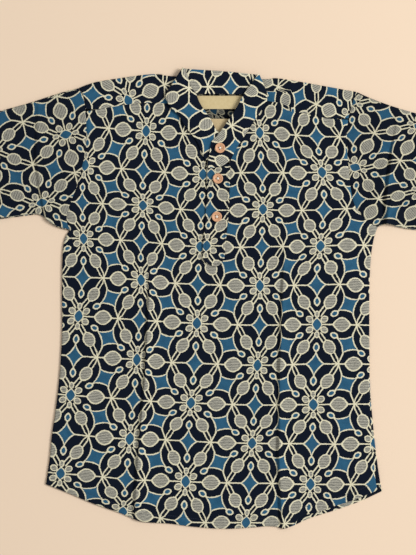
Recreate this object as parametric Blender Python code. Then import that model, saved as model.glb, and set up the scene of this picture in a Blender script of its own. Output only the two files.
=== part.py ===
"""Child's short kurta laid flat, front up: stand collar, half placket and wide sleeves.

Metres, +Z up. The garment lies on the plane z = 0, hem towards -Y and collar
towards +Y. Left and right are those of a viewer who looks down at it. Sizes and
tables are in millimetres, and MM turns them into metres.
"""

import math

import bmesh
import bpy
from mathutils import Matrix, Vector
from mathutils.geometry import delaunay_2d_cdt

MM = 0.001

# Cloth and how the layers lie on each other
WALL = 1.3
SEAM_GAP = 0.3
LAYER = WALL + SEAM_GAP
FOLD_RADIUS = (LAYER + WALL) / 2
FOLD_ARC = (LAYER / 2) * math.pi / 2
PUFF = 1.6
PUFF_REACH = 28.0
PANEL_GRID = 13.0
BACK_GRID = 26.0
OUTLINE_STEP = 11.0

# Collar band, placket, labels and buttons
BAND_WALL = 1.4
BAND_CROWN = 0.7
BAND_FOLD_RADIUS = 1.35
BAND_UNDER_BACK = 4.15
BAND_COLUMNS = 6
NECK_TUCK = 1.2
PLACKET_WALL = 1.6
PLACKET_COVER = 1.0
BACK_YOKE_DEPTH = 75.0
BACK_HEM_SHORTER = 1.5
ROLLED_EDGE = 2.8
ROLLED_FROM = -150.0
ROLLED_TO = -206.0
LABEL_THICKNESS = 1.0
BUTTON_DIAMETER = 11.5
BUTTON_THICKNESS = 2.4
BUTTON_DISH = 0.7
BUTTON_RIM = 1.5
BUTTON_HOLE = 1.5
BUTTON_HOLE_SPACING = 2.7
BUTTON_SIDES = 24

# Sleeves
SLEEVE_RINGS = 12

# Outlines: x, y of the points that each edge passes through
TOP_LEFT = [(-155, 239.5), (-136, 246.3), (-108, 251), (-80, 254.8), (-62, 255.4), (-44, 253)]
TOP_RIGHT = [(53, 250), (70, 251), (97, 247), (125, 242), (152, 237), (161.3, 235.5)]
ARMHOLE_LEFT = [
    (-155, 239.5), (-149.3, 229), (-146.7, 212.6), (-145.6, 192), (-146.1, 174),
    (-148.8, 158), (-156.8, 127), (-164.5, 107), (-168.4, 91), (-164.5, 77.5),
]
ARMHOLE_RIGHT = [
    (161.3, 235.5), (157, 222), (152.2, 203.5), (150.5, 188), (150.6, 172),
    (152.2, 152), (155.6, 121.5), (160.2, 104.5), (167, 94), (176, 86), (186, 81.5),
]
SLEEVE_TOP_LEFT = [(-155, 239.5), (-176, 234), (-210, 223), (-245, 213.4), (-301.5, 199.5)]
SLEEVE_UNDER_LEFT = [
    (-164.5, 77.5), (-177, 80.5), (-187, 86), (-198.5, 95), (-212, 94.7), (-240, 91), (-280, 86.6),
]
SLEEVE_TOP_RIGHT = [(161.3, 235.5), (179.5, 227.5), (207, 217.5), (250, 205), (301.5, 189)]
SLEEVE_UNDER_RIGHT = [
    (186, 81.5), (196, 84.5), (208, 82), (220, 79.2), (240, 77), (274, 72),
]
SIDE_LEFT = [
    (-164.5, 77.5), (-170, 70), (-173, 52), (-173.8, 10), (-173.6, -30), (-174.6, -59),
    (-177, -93), (-181.5, -129), (-187, -157), (-190.5, -180), (-192.7, -204), (-192.2, -211.5),
]
SIDE_RIGHT = [
    (186, 81.5), (182, 70), (178.5, 50), (176.6, 15), (176.4, -40), (177, -95),
    (180, -137), (184.3, -178), (188.5, -208), (191, -219.5),
]
HEM_LEFT = [
    (-192.2, -211.5), (-168, -221), (-137, -234), (-107, -244.5), (-86, -253.5), (-73, -255.3),
    (-50, -256.5), (-25, -259.8), (10, -262.3), (43, -260.8), (60, -259.3), (72, -260.2),
    (79, -262.5),
]
HEM_RIGHT = [
    (79, -262.5), (91, -258.5), (103, -252.5), (117, -247.5), (140, -240.5), (166, -231),
    (191, -219.5),
]
FRONT_HEM_RIGHT = [
    (79, -262.5), (90, -257.5), (99, -248), (117, -243.5), (138, -236), (160, -229), (185.5, -218.5),
]
FRONT_SIDE_RIGHT = [(176.8, -95), (177.4, -130), (180, -178), (183, -204), (185.5, -218.5)]
YOKE_SEAM_LEFT = [(-53.5, 222.9), (-75, 222.4), (-96, 221), (-120, 217.5), (-146.7, 212.6)]
YOKE_SEAM_RIGHT = [(60, 225), (74, 222.6), (85.5, 218.5), (89.5, 212.3), (107, 210), (128, 205), (152.2, 203.5)]
NECK_LEFT = [
    (-53.5, 222.9), (-50, 216.5), (-42, 210), (-36.5, 201), (-31.5, 193), (-24, 184.5),
    (-18.5, 175), (-14, 164.5), (-9.2, 155), (-8.5, 149),
]
NECK_BACK = [
    (-53.5, 222.9), (-55.8, 228), (-52, 232.2), (-40, 233.2), (6, 232.6), (42, 232),
    (57, 230.8), (61, 228), (60, 225),
]
NECK_CORNER_LEFT = (-52.4, 222.9)
NECK_CORNER_RIGHT = (58.9, 225.1)
NECK_RIGHT = [
    (60, 225), (54.5, 216), (45, 201.5), (35, 186), (26.8, 173.5), (20, 161), (17, 153),
]
PLACKET_LEFT = [
    (-8.3, 147.8), (-8.7, 128), (-10, 98), (-12.6, 68), (-14.3, 47),
]
PLACKET_FOOT = [(-14.3, 47), (-10.5, 41.5), (-4.5, 38), (1.7, 36.3), (7, 39.5), (11.2, 45.6)]
PLACKET_RIGHT = [(11.2, 45.6), (13, 66), (16, 97), (17.2, 122), (18, 150.5)]

# Collar band: seam point, free edge point and height of the band's underside
BAND_LEFT = [
    # seam x, seam y, free x, free y, under
    (11.5, 158, 24, 182.5, 5.0),
    (0, 156.5, 15, 184, 5.0),
    (-10, 158, 8, 187.5, 5.0),
    (-15.5, 168.5, 2.3, 191, 5.0),
    (-19.4, 177.5, -1.5, 198.5, 5.0),
    (-25.5, 186, -6.3, 207, 5.1),
    (-31.5, 193, -13.2, 216.5, 5.3),
    (-36.5, 201, -17.8, 224.5, 5.5),
    (-40.5, 208.5, -21.5, 233.5, 5.9),
    (-46, 213.3, -27, 240.5, 6.3),
    (-51.5, 219.5, -29, 247.5, 6.7),
    (-54.3, 225, -31, 254, 6.9),
]
BAND_BACK = [
    # seam x, seam y, free x, free y
    (-45, 233.2, -27, 260.8),
    (-28, 232.8, -15, 260),
    (-9, 232.7, -2, 259.3),
    (10, 232.6, 11, 258.3),
    (29, 232.3, 24, 257.2),
    (46, 231.8, 39, 255.5),
]
BAND_RIGHT = [
    # seam x, seam y, free x, free y, under
    (59.5, 223.8, 43.5, 246, 6.9),
    (55, 216.8, 36.2, 236.8, 6.8),
    (50, 209, 32, 229.5, 6.8),
    (44.6, 201, 26.8, 220, 6.8),
    (38.5, 191.5, 20.8, 210, 6.8),
    (32.5, 182.2, 14.2, 200.5, 6.8),
    (26.8, 173.5, 8.2, 191.7, 6.8),
    (21, 163, 3.6, 186, 6.8),
    (15, 154.6, 0.5, 182.4, 6.8),
    (7, 150, -1.6, 180, 6.8),
    (-0.8, 148.5, -3, 178.5, 6.8),
    (-8.4, 148.5, -4, 175.5, 6.8),
]
BAND_FOLD_LEFT = ((-56.2, 231), (-35.8, 262.3))
BAND_FOLD_RIGHT = ((61, 229.8), (50.2, 255))

# Soft ridges in the upper layer: from x, y to x, y, with height and half width
FOLDS = [
    # from x, from y, to x, to y, height, half width
    (-74, 40, -77, -60, 0.9, 9),
    (-77, -60, -82.5, -150, 1.1, 9),
    (-82.5, -150, -85.5, -254, 1.2, 8),
    (79.5, 70, 77.5, -40, 0.9, 8),
    (77.5, -40, 75.5, -150, 1.0, 8),
    (75.5, -150, 79, -262, 1.2, 7),
    (87.6, 245, 88, 205, 1.2, 5),
    (200, 145, 172, 100, 1.2, 9),
    (228, 120, 200, 92, 1.0, 8),
    (-198, 100, -172, 118, 0.9, 8),
    (-187, -143, -110, -149, 0.5, 7),
    (150, 70, 120, 30, 0.7, 14),
]

# Labels: low x, low y, high x, high y
NECK_LABEL = (-21.5, 215.8, 35, 230.8)
SIZE_LABEL = (-12.6, 185.2, 21.8, 204.6)

# Buttons: x, y and the height of what each lies on comes from its place
BUTTON_ON_BAND = (6.3, 170.8)
BUTTONS_ON_PLACKET = [(3.8, 136.3), (2.6, 92.9)]

# Colours: red, green, blue and roughness
PRINTED_COTTON = (0.13, 0.14, 0.13, 0.9)
COCONUT = (0.66, 0.44, 0.3, 0.55)
LABEL_GOLD = (0.6, 0.49, 0.27, 0.7)
LABEL_BEIGE = (0.66, 0.56, 0.4, 0.8)


def clear_scene():
    """Remove every object that the scene holds."""
    for obj in list(bpy.data.objects):
        bpy.data.objects.remove(obj, do_unlink=True)


def make_material(name, colour):
    """A plain material of one colour and roughness."""
    material = bpy.data.materials.new(name)
    material.use_nodes = True
    shader = material.node_tree.nodes["Principled BSDF"]
    shader.inputs["Base Color"].default_value = (*colour[:3], 1)
    shader.inputs["Roughness"].default_value = colour[3]
    shader.inputs["Metallic"].default_value = 0.0
    return material


def catmull_rom(before, start, end, after, t):
    """One coordinate on the smooth stretch from start to end."""
    slope_in = (end - before) / 2
    slope_out = (after - start) / 2
    return (
        start
        + slope_in * t
        + (3 * (end - start) - 2 * slope_in - slope_out) * t**2
        + (2 * (start - end) + slope_in + slope_out) * t**3
    )


def spline(rows, step=OUTLINE_STEP):
    """Points about a step apart on the smooth curve through the rows."""
    padded = [rows[0], *rows, rows[-1]]
    points = []
    for before, start, end, after in zip(padded, padded[1:], padded[2:], padded[3:]):
        count = max(1, round(math.dist(start[:2], end[:2]) / step))
        for i in range(count):
            place = zip(before, start, end, after)
            points.append(tuple(catmull_rom(*values, i / count) for values in place))
    points.append(tuple(rows[-1]))
    return points


def offset(points, distance):
    """The curve moved to its left by the distance, point by point."""
    moved = []
    for i, (x, y) in enumerate(points):
        ahead = points[min(i + 1, len(points) - 1)]
        behind = points[max(i - 1, 0)]
        along = Vector((ahead[0] - behind[0], ahead[1] - behind[1])).normalized()
        moved.append((x - along.y * distance, y + along.x * distance))
    return moved


def at_length(points, share):
    """The point at a share of the curve's whole length."""
    spans = [math.dist(a, b) for a, b in zip(points, points[1:])]
    left = share * sum(spans)
    for span, a, b in zip(spans, points, points[1:]):
        if left <= span:
            t = left / span
            return (a[0] + (b[0] - a[0]) * t, a[1] + (b[1] - a[1]) * t)
        left -= span
    return points[-1]


def x_at(points, y):
    """Where a curve that runs along Y crosses a height on the page."""
    for a, b in zip(points, points[1:]):
        if (a[1] - y) * (b[1] - y) <= 0 and a[1] != b[1]:
            return a[0] + (b[0] - a[0]) * (y - a[1]) / (b[1] - a[1])
    return points[0][0] if abs(points[0][1] - y) < abs(points[-1][1] - y) else points[-1][0]


def y_at(points, x):
    """Where a curve that runs along X crosses a place on the page."""
    return x_at([(b, a) for a, b in points], x)


def segment_distance(point, start, end):
    """Distance from a point to a straight stretch, and how far along it lies."""
    dx, dy = end[0] - start[0], end[1] - start[1]
    t = ((point[0] - start[0]) * dx + (point[1] - start[1]) * dy) / (dx * dx + dy * dy)
    t = min(1.0, max(0.0, t))
    return math.dist(point, (start[0] + dx * t, start[1] + dy * t)), t


def inside(point, outline):
    """Whether a point is inside a closed outline."""
    x, y = point
    found = False
    for (ax, ay), (bx, by) in zip(outline, outline[1:] + outline[:1]):
        if (ay > y) != (by > y) and x < ax + (bx - ax) * (y - ay) / (by - ay):
            found = not found
    return found


SHOULDER_LINE = spline(TOP_LEFT + TOP_RIGHT)
CLOSED_EDGES = [
    spline(SLEEVE_TOP_LEFT),
    SHOULDER_LINE,
    spline(SLEEVE_TOP_RIGHT),
    spline(SLEEVE_UNDER_LEFT),
    spline(SLEEVE_UNDER_RIGHT),
    spline(SIDE_LEFT),
    spline(SIDE_RIGHT),
    spline(HEM_LEFT + FRONT_HEM_RIGHT[1:]),
]


def upper_rest(x, y):
    """Height of the upper layer's underside: it swells inside the edges and rises at folds."""
    nearest = min(
        segment_distance((x, y), a, b)[0]
        for edge in CLOSED_EDGES
        for a, b in zip(edge, edge[1:])
    )
    height = LAYER + PUFF * (1 - math.exp(-nearest / PUFF_REACH))
    for ax, ay, bx, by, rise, half_width in FOLDS:
        away, _ = segment_distance((x, y), (ax, ay), (bx, by))
        height += rise * math.exp(-((away / half_width) ** 2))
    return height


def upper_top(x, y):
    """Height of the upper layer's top."""
    return upper_rest(x, y) + WALL


def triangulate(outline, grid, lines=()):
    """Plan points and triangles over an outline, with an even grid clear of its edges."""
    points = list(outline)
    edges = []
    for line in lines:
        first = len(points)
        points.extend(line)
        edges.extend((i, i + 1) for i in range(first, first + len(line) - 1))
    borders = [*zip(outline, outline[1:] + outline[:1])]
    for line in lines:
        borders.extend(zip(line, line[1:]))
    xs = [x for x, _ in outline]
    ys = [y for _, y in outline]
    row_height = grid * math.sqrt(3) / 2
    for row in range(int((max(ys) - min(ys)) / row_height) + 1):
        y = min(ys) + (row + 0.5) * row_height
        shift = grid / 2 if row % 2 else 0.0
        for column in range(int((max(xs) - min(xs)) / grid) + 2):
            place = (min(xs) + column * grid + shift, y)
            clear = all(segment_distance(place, a, b)[0] > grid * 0.5 for a, b in borders)
            if inside(place, outline) and clear:
                points.append(place)
    vectors = [Vector(point) for point in points]
    region = [list(range(len(outline)))]
    plan, _, faces, *_ = delaunay_2d_cdt(vectors, edges, region, 1, 0.001)
    return [(v.x, v.y) for v in plan], faces


def finish_object(name, mesh, material):
    """Recalculate normals, shade smooth and link an object for the mesh."""
    solid = bmesh.new()
    solid.from_mesh(mesh)
    bmesh.ops.recalc_face_normals(solid, faces=solid.faces)
    solid.to_mesh(mesh)
    solid.free()
    mesh.shade_smooth()
    mesh.set_sharp_from_angle(angle=math.radians(40))
    mesh.materials.append(material)
    obj = bpy.data.objects.new(name, mesh)
    bpy.context.scene.collection.objects.link(obj)
    return obj


def mesh_of(name, points, faces):
    """A mesh of points in millimetres."""
    mesh = bpy.data.meshes.new(name)
    mesh.from_pydata([tuple(value * MM for value in point) for point in points], [], faces)
    return mesh


def make_wall(name, plan, faces, low, high, material):
    """A closed wall over plan triangles: low and high turn a plan point into a 3-D one."""
    count = len(plan)
    points = [low(*point) for point in plan] + [high(*point) for point in plan]
    walls = []
    used = {}
    for face in faces:
        corners = list(face)
        area = sum(
            plan[a][0] * plan[b][1] - plan[b][0] * plan[a][1]
            for a, b in zip(corners, corners[1:] + corners[:1])
        )
        if area < 0:
            corners.reverse()
        walls.append([i + count for i in corners])
        walls.append(corners[::-1])
        for a, b in zip(corners, corners[1:] + corners[:1]):
            used[(a, b)] = True
    for a, b in used:
        if (b, a) not in used:
            walls.append([a, b, b + count, a + count])
    return finish_object(name, mesh_of(name, points, walls), material)


def make_flat_piece(name, outline, grid, under, wall, material, lines=()):
    """A piece over an outline, its underside at under(x, y) and its wall straight up."""
    plan, faces = triangulate(outline, grid, lines)

    def low(x, y):
        return (x, y, under(x, y))

    def high(x, y):
        return (x, y, under(x, y) + (wall(x, y) if callable(wall) else wall))

    return make_wall(name, plan, faces, low, high, material)


def joined(*curves):
    """Curves end to end, with each shared end point once."""
    points = list(curves[0])
    for curve in curves[1:]:
        points.extend(curve[1:] if math.dist(points[-1], curve[0]) < 0.01 else curve)
    if math.dist(points[0], points[-1]) < 0.01:
        points.pop()
    return points


def part_of(curve, low, high):
    """The points of a curve whose Y lies between two values."""
    return [point for point in curve if low <= point[1] <= high]


def placket_outline(inset):
    """The placket strip's outline, drawn in by an inset, from its left top round its foot."""
    return [
        *offset(spline(PLACKET_LEFT), inset),
        *offset(spline(PLACKET_FOOT, 5), inset)[1:-1],
        *offset(spline(PLACKET_RIGHT), inset),
    ]


def make_front_panel(material):
    """The front, from hem to yoke seam, with the notch that the placket fills."""
    armhole_left = part_of(spline(ARMHOLE_LEFT), 0, 212.6)
    armhole_right = part_of(spline(ARMHOLE_RIGHT), 0, 203.5)
    side_right = [p for p in spline(SIDE_RIGHT) if p[1] > FRONT_SIDE_RIGHT[0][1]]
    outline = joined(
        spline(SIDE_LEFT)[::-1],
        armhole_left[::-1][1:],
        spline(YOKE_SEAM_LEFT)[::-1][1:-1],
        [NECK_CORNER_LEFT, *offset(spline(NECK_LEFT), NECK_TUCK)[1:-1]],
        placket_outline(PLACKET_COVER),
        [*offset(spline(NECK_RIGHT), -NECK_TUCK)[::-1][1:-1], NECK_CORNER_RIGHT],
        spline(YOKE_SEAM_RIGHT)[1:-1],
        armhole_right,
        side_right[1:],
        spline(FRONT_SIDE_RIGHT),
        spline(HEM_LEFT + FRONT_HEM_RIGHT[1:])[::-1][1:],
    )
    creases = [spline([(-74, 40), (-77, -60), (-82.5, -150), (-85.3, -246)], PANEL_GRID)]
    creases.append(spline([(79.5, 70), (77.5, -40), (75.5, -150), (78.5, -255)], PANEL_GRID))
    return make_flat_piece("front_panel", outline, PANEL_GRID, upper_rest, WALL, material, creases)


def back_wall(x, y):
    """The back's thickness: one wall, and a rolled edge where it comes round past the front."""
    if not ROLLED_FROM > y > ROLLED_TO:
        return WALL
    share = (x - x_at(FRONT_SIDE_RIGHT, y) - 2 * SEAM_GAP) / SEAM_GAP
    return WALL + (ROLLED_EDGE - WALL) * min(1.0, max(0.0, share))


def make_back_panel(material):
    """The back, under the front, rolled round past it at the lower right."""
    seam_y = y_at(NECK_BACK, 0) - BACK_YOKE_DEPTH
    armhole_left = part_of(spline(ARMHOLE_LEFT), 0, seam_y)
    armhole_right = part_of(spline(ARMHOLE_RIGHT), 0, seam_y)
    hem_left = [(x, y + BACK_HEM_SHORTER) for x, y in spline(HEM_LEFT)]
    outline = joined(
        armhole_left[::-1],
        [(x_at(spline(ARMHOLE_LEFT), seam_y), seam_y), (x_at(spline(ARMHOLE_RIGHT), seam_y), seam_y)],
        armhole_right,
        spline(SIDE_RIGHT)[1:],
        spline(HEM_RIGHT)[::-1][1:-1],
        hem_left[::-1],
        spline(SIDE_LEFT)[::-1][1:-1],
    )
    edge = part_of(spline(FRONT_SIDE_RIGHT), ROLLED_TO - 8, ROLLED_FROM + 8)
    lines = [offset(edge, SEAM_GAP * 1.8), offset(edge, SEAM_GAP * 3.2)]
    return make_flat_piece("back_panel", outline, BACK_GRID, lambda x, y: 0.0, back_wall, material, lines)


def unfolded(x, y, side):
    """Distance of a point from the shoulder fold along the cloth: + on top, - beneath."""
    depth = y_at(SHOULDER_LINE, x) - FOLD_RADIUS - y
    return side * max(0.0, depth + FOLD_ARC)


def folded(x, distance, outside):
    """The yoke's point at a distance from the shoulder fold, on its outside or inside."""
    fold_y = y_at(SHOULDER_LINE, x) - FOLD_RADIUS
    if abs(distance) <= FOLD_ARC:
        angle = distance / FOLD_ARC * math.pi / 2
        radius = FOLD_RADIUS if outside else FOLD_RADIUS - WALL
        return (x, fold_y + radius * math.cos(angle), FOLD_RADIUS + radius * math.sin(angle))
    y = fold_y - (abs(distance) - FOLD_ARC)
    if distance > 0:
        fade = min(1.0, (abs(distance) - FOLD_ARC) / WALL)
        rest = LAYER + (upper_rest(x, y) - LAYER) * fade
        return (x, y, rest + WALL if outside else rest)
    return (x, y, 0.0 if outside else WALL)


def make_yoke(material):
    """The yoke: one cloth from the front seams over the shoulders to the back seam."""
    seam_y = y_at(NECK_BACK, 0) - BACK_YOKE_DEPTH + SEAM_GAP
    arm_left = spline(ARMHOLE_LEFT)
    arm_right = spline(ARMHOLE_RIGHT)
    front_left = part_of(arm_left, 213, 239)
    front_right = part_of(arm_right, 204, 235)
    front = joined(
        front_left,
        offset(spline(YOKE_SEAM_LEFT), -SEAM_GAP)[::-1][:-1],
        [(NECK_CORNER_LEFT[0], NECK_CORNER_LEFT[1] + SEAM_GAP)],
        offset(spline(NECK_BACK, 5), -NECK_TUCK)[1:-1],
        [(NECK_CORNER_RIGHT[0], NECK_CORNER_RIGHT[1] + SEAM_GAP)],
        offset(spline(YOKE_SEAM_RIGHT), SEAM_GAP)[1:],
        front_right[::-1],
    )
    back = joined(
        part_of(arm_right, seam_y, 235),
        [(x_at(arm_right, seam_y), seam_y), (x_at(arm_left, seam_y), seam_y)],
        part_of(arm_left, seam_y, 239)[::-1],
    )
    outline = [(x, unfolded(x, y, 1)) for x, y in front]
    outline.append((arm_right[0][0] - FOLD_RADIUS / 2, 0.0))
    outline.extend((x, unfolded(x, y, -1)) for x, y in back)
    outline.append((arm_left[0][0] + FOLD_RADIUS / 2, 0.0))
    rows = []
    for share in (-1.0, -0.5, 0.0, 0.5, 1.0):
        count = 30
        low_x, high_x = arm_left[0][0] + 2.5, arm_right[0][0] - 2.5
        rows.append([
            (low_x + (high_x - low_x) * i / count, share * FOLD_ARC) for i in range(count + 1)
        ])
    plan, faces = triangulate(outline, PANEL_GRID, rows)
    return make_wall(
        "yoke", plan, faces,
        lambda x, s: folded(x, s, False),
        lambda x, s: folded(x, s, True),
        material,
    )


def shares_along(points):
    """Each point's share of the curve's whole length."""
    lengths = [0.0]
    for a, b in zip(points, points[1:]):
        lengths.append(lengths[-1] + math.dist(a, b))
    return [length / lengths[-1] for length in lengths]


def flattened_ring(plan, width, seam_shares):
    """Outer and inner points of a flattened tube's ring. plan(u) gives its points, edge to edge."""
    start = FOLD_RADIUS / width
    shares = [start, *seam_shares[1:-1], 1 - start]
    outer, inner = [], []

    def add_edge(centre, reach, angles):
        rest = upper_rest(*plan(centre))
        for angle in angles:
            across, up = math.cos(math.radians(angle)), math.sin(math.radians(angle))
            x, y = plan(centre + reach * across)
            outer.append((x, y, (rest + WALL) / 2 * (1 + up)))
            x, y = plan(centre + reach * across * (FOLD_RADIUS - WALL) / FOLD_RADIUS)
            inner.append((x, y, (rest + WALL) / 2 + (rest - WALL) / 2 * up))

    for share in shares:
        x, y = plan(share)
        outer.append((x, y, upper_top(x, y)))
        inner.append((x, y, upper_rest(x, y)))
    add_edge(1 - start, start, (45, 0, -45))
    for share in reversed(shares):
        x, y = plan(share)
        outer.append((x, y, 0.0))
        inner.append((x, y, WALL))
    add_edge(start, -start, (-45, 0, 45))
    return outer, inner


def make_sleeve(name, armhole, over, under, side, material):
    """A flattened tube from the armhole seam to the cuff; side is -1 on the left and 1 on the right."""
    seam = offset(armhole, side * SEAM_GAP)
    over = [seam[0], *over[1:]]
    under = [seam[-1], *under[1:]]
    cuff = [over[-1], under[-1]]

    def plan_at(t):
        top, low = at_length(over, t), at_length(under, t)

        def plan(u):
            on_seam, on_cuff = at_length(seam, u), at_length(cuff, u)
            point = []
            for axis in (0, 1):
                ruled = on_seam[axis] * (1 - t) + on_cuff[axis] * t
                edges = top[axis] * (1 - u) + low[axis] * u
                corners = (seam[0][axis] * (1 - u) + seam[-1][axis] * u) * (1 - t)
                corners += (cuff[0][axis] * (1 - u) + cuff[-1][axis] * u) * t
                point.append(ruled + edges - corners)
            return tuple(point)

        return plan, math.dist(top, low), shares_along(seam)

    rings = [flattened_ring(*plan_at(i / SLEEVE_RINGS)) for i in range(SLEEVE_RINGS + 1)]
    size = len(rings[0][0])
    points = [p for outer, inner in rings for p in outer + inner]
    faces = []
    for ring in range(SLEEVE_RINGS):
        base, beyond = ring * 2 * size, (ring + 1) * 2 * size
        for i in range(size):
            j = (i + 1) % size
            faces.append([base + i, base + j, beyond + j, beyond + i])
            faces.append([base + size + j, base + size + i, beyond + size + i, beyond + size + j])
    for base in (0, SLEEVE_RINGS * 2 * size):
        for i in range(size):
            j = (i + 1) % size
            faces.append([base + i, base + j, base + size + j, base + size + i])
    return finish_object(name, mesh_of(name, points, faces), material)


def band_fold(line, outward, heights):
    """Stations round one of the band's side folds, from the first height to the last."""
    low_mid, high_mid = min(heights), max(heights)
    radius = (high_mid - low_mid) / 2
    stations = []
    for angle in (90, 50, 15, -15, -50, -90):
        back = radius * (1 - math.cos(math.radians(angle)))
        height = (low_mid + high_mid) / 2 + radius * math.sin(math.radians(angle))
        ends = [(x - outward[0] * back, y - outward[1] * back) for x, y in line]
        stations.append((*ends[0], *ends[1], height))
    return stations if heights[0] > heights[1] else stations[::-1]


def band_stations():
    """Seam point, free point and mid height of each station, from the left end to the right end."""
    half = BAND_WALL / 2
    back_mid = BAND_UNDER_BACK + half
    front_mid = back_mid + 2 * BAND_FOLD_RADIUS
    left = [(*row[:4], row[4] + half) for row in spline(BAND_LEFT, 9)]
    back = [(*row[:4], back_mid) for row in spline(BAND_BACK, 17)]
    right = [(*row[:4], row[4] + half) for row in spline(BAND_RIGHT, 9)]
    fold_left = band_fold(BAND_FOLD_LEFT, (-0.84, 0.54), (front_mid, back_mid))
    fold_right = band_fold(BAND_FOLD_RIGHT, (0.92, 0.39), (back_mid, front_mid))
    return left, [*left, *fold_left, *back, *fold_right, *right], right


def band_crown(row, total, left_count, right_count):
    """How much a station's middle rises: the front halves are crowned and the back lies flat."""
    if row < left_count:
        return BAND_CROWN * min(1.0, row / 5)
    if row >= total - right_count:
        return BAND_CROWN
    return 0.0


def make_collar(material):
    """The stand collar: a stiff band, its back half inside up, both front halves folded over."""
    left, stations, right = band_stations()
    grid = []
    for row, (sx, sy, fx, fy, height) in enumerate(stations):
        crown = band_crown(row, len(stations), len(left), len(right))
        line = []
        for column in range(BAND_COLUMNS + 1):
            v = column / BAND_COLUMNS
            rise = crown * math.sin(math.pi * v)
            line.append(Vector((sx + (fx - sx) * v, sy + (fy - sy) * v, height + rise)))
        grid.append(line)
    points = []
    for side in (1, -1):
        for i, line in enumerate(grid):
            for j, point in enumerate(line):
                along = grid[min(i + 1, len(grid) - 1)][j] - grid[max(i - 1, 0)][j]
                across = line[min(j + 1, BAND_COLUMNS)] - line[max(j - 1, 0)]
                normal = along.cross(across).normalized()
                points.append(tuple(point + normal * side * BAND_WALL / 2))
    wide = BAND_COLUMNS + 1
    count = len(grid) * wide
    faces = []
    for i in range(len(grid) - 1):
        for j in range(BAND_COLUMNS):
            a, b = i * wide + j, (i + 1) * wide + j
            faces.append([a, a + 1, b + 1, b])
            faces.append([a + count, b + count, b + 1 + count, a + 1 + count])
        for j in (0, BAND_COLUMNS):
            a, b = i * wide + j, (i + 1) * wide + j
            faces.append([a, b, b + count, a + count])
    for i in (0, len(grid) - 1):
        for j in range(BAND_COLUMNS):
            a = i * wide + j
            faces.append([a, a + 1, a + 1 + count, a + count])
    return finish_object("collar", mesh_of("collar", points, faces), material)


def make_placket(material):
    """The strip that shows and the one beneath it, which fills the front's notch."""
    make_flat_piece(
        "placket_over", placket_outline(0.0), 8.0,
        lambda x, y: upper_top(x, y) + SEAM_GAP, PLACKET_WALL, material,
    )
    make_flat_piece(
        "placket_under", placket_outline(PLACKET_COVER + SEAM_GAP), 12.0,
        upper_rest, WALL, material,
    )


def make_label(name, box, material):
    """A bare woven label lying on the yoke inside the neck."""
    low_x, low_y, high_x, high_y = box
    outline = [(low_x, low_y), (high_x, low_y), (high_x, high_y), (low_x, high_y)]
    return make_flat_piece(name, outline, 60.0, lambda x, y: LAYER, LABEL_THICKNESS, material)


def make_button(name, place, base, material):
    """A turned button with a raised rim, a dished middle and four holes."""
    radius = BUTTON_DIAMETER / 2
    top = BUTTON_THICKNESS
    profile = [
        (0, 0), (radius * 0.82, 0), (radius, top * 0.35), (radius, top * 0.75), (radius - 0.6, top),
        (radius - BUTTON_RIM, top), (radius - BUTTON_RIM - 0.7, top - BUTTON_DISH), (0, top - BUTTON_DISH),
    ]
    solid = bmesh.new()
    ring = [solid.verts.new((x * MM, 0, z * MM)) for x, z in profile]
    edges = [solid.edges.new(pair) for pair in zip(ring, ring[1:])]
    bmesh.ops.spin(
        solid, geom=ring + edges, cent=(0, 0, 0), axis=(0, 0, 1),
        angle=math.tau, steps=BUTTON_SIDES, use_merge=True,
    )
    bmesh.ops.remove_doubles(solid, verts=solid.verts, dist=0.01 * MM)
    mesh = bpy.data.meshes.new(name)
    solid.to_mesh(mesh)
    solid.free()
    obj = finish_object(name, mesh, material)
    cutter = bpy.data.objects.new(f"{name}_holes", hole_mesh())
    cutter.hide_render = True
    cutter.display_type = "WIRE"
    bpy.context.scene.collection.objects.link(cutter)
    for item in (obj, cutter):
        item.location = (place[0] * MM, place[1] * MM, base * MM)
    cut = obj.modifiers.new("thread_holes", "BOOLEAN")
    cut.operation = "DIFFERENCE"
    cut.object = cutter
    return obj


def hole_mesh():
    """Four short round cutters for the thread holes."""
    mesh = bpy.data.meshes.new("thread_holes")
    solid = bmesh.new()
    reach = BUTTON_HOLE_SPACING / math.sqrt(2)
    for i in range(4):
        angle = math.radians(50 + 90 * i)
        centre = (reach * math.cos(angle) * MM, reach * math.sin(angle) * MM, BUTTON_THICKNESS / 2 * MM)
        bmesh.ops.create_cone(
            solid, cap_ends=True, segments=8, depth=2 * BUTTON_THICKNESS * MM,
            radius1=BUTTON_HOLE / 2 * MM, radius2=BUTTON_HOLE / 2 * MM,
            matrix=Matrix.Translation(centre),
        )
    bmesh.ops.recalc_face_normals(solid, faces=solid.faces)
    solid.to_mesh(mesh)
    solid.free()
    return mesh


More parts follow.
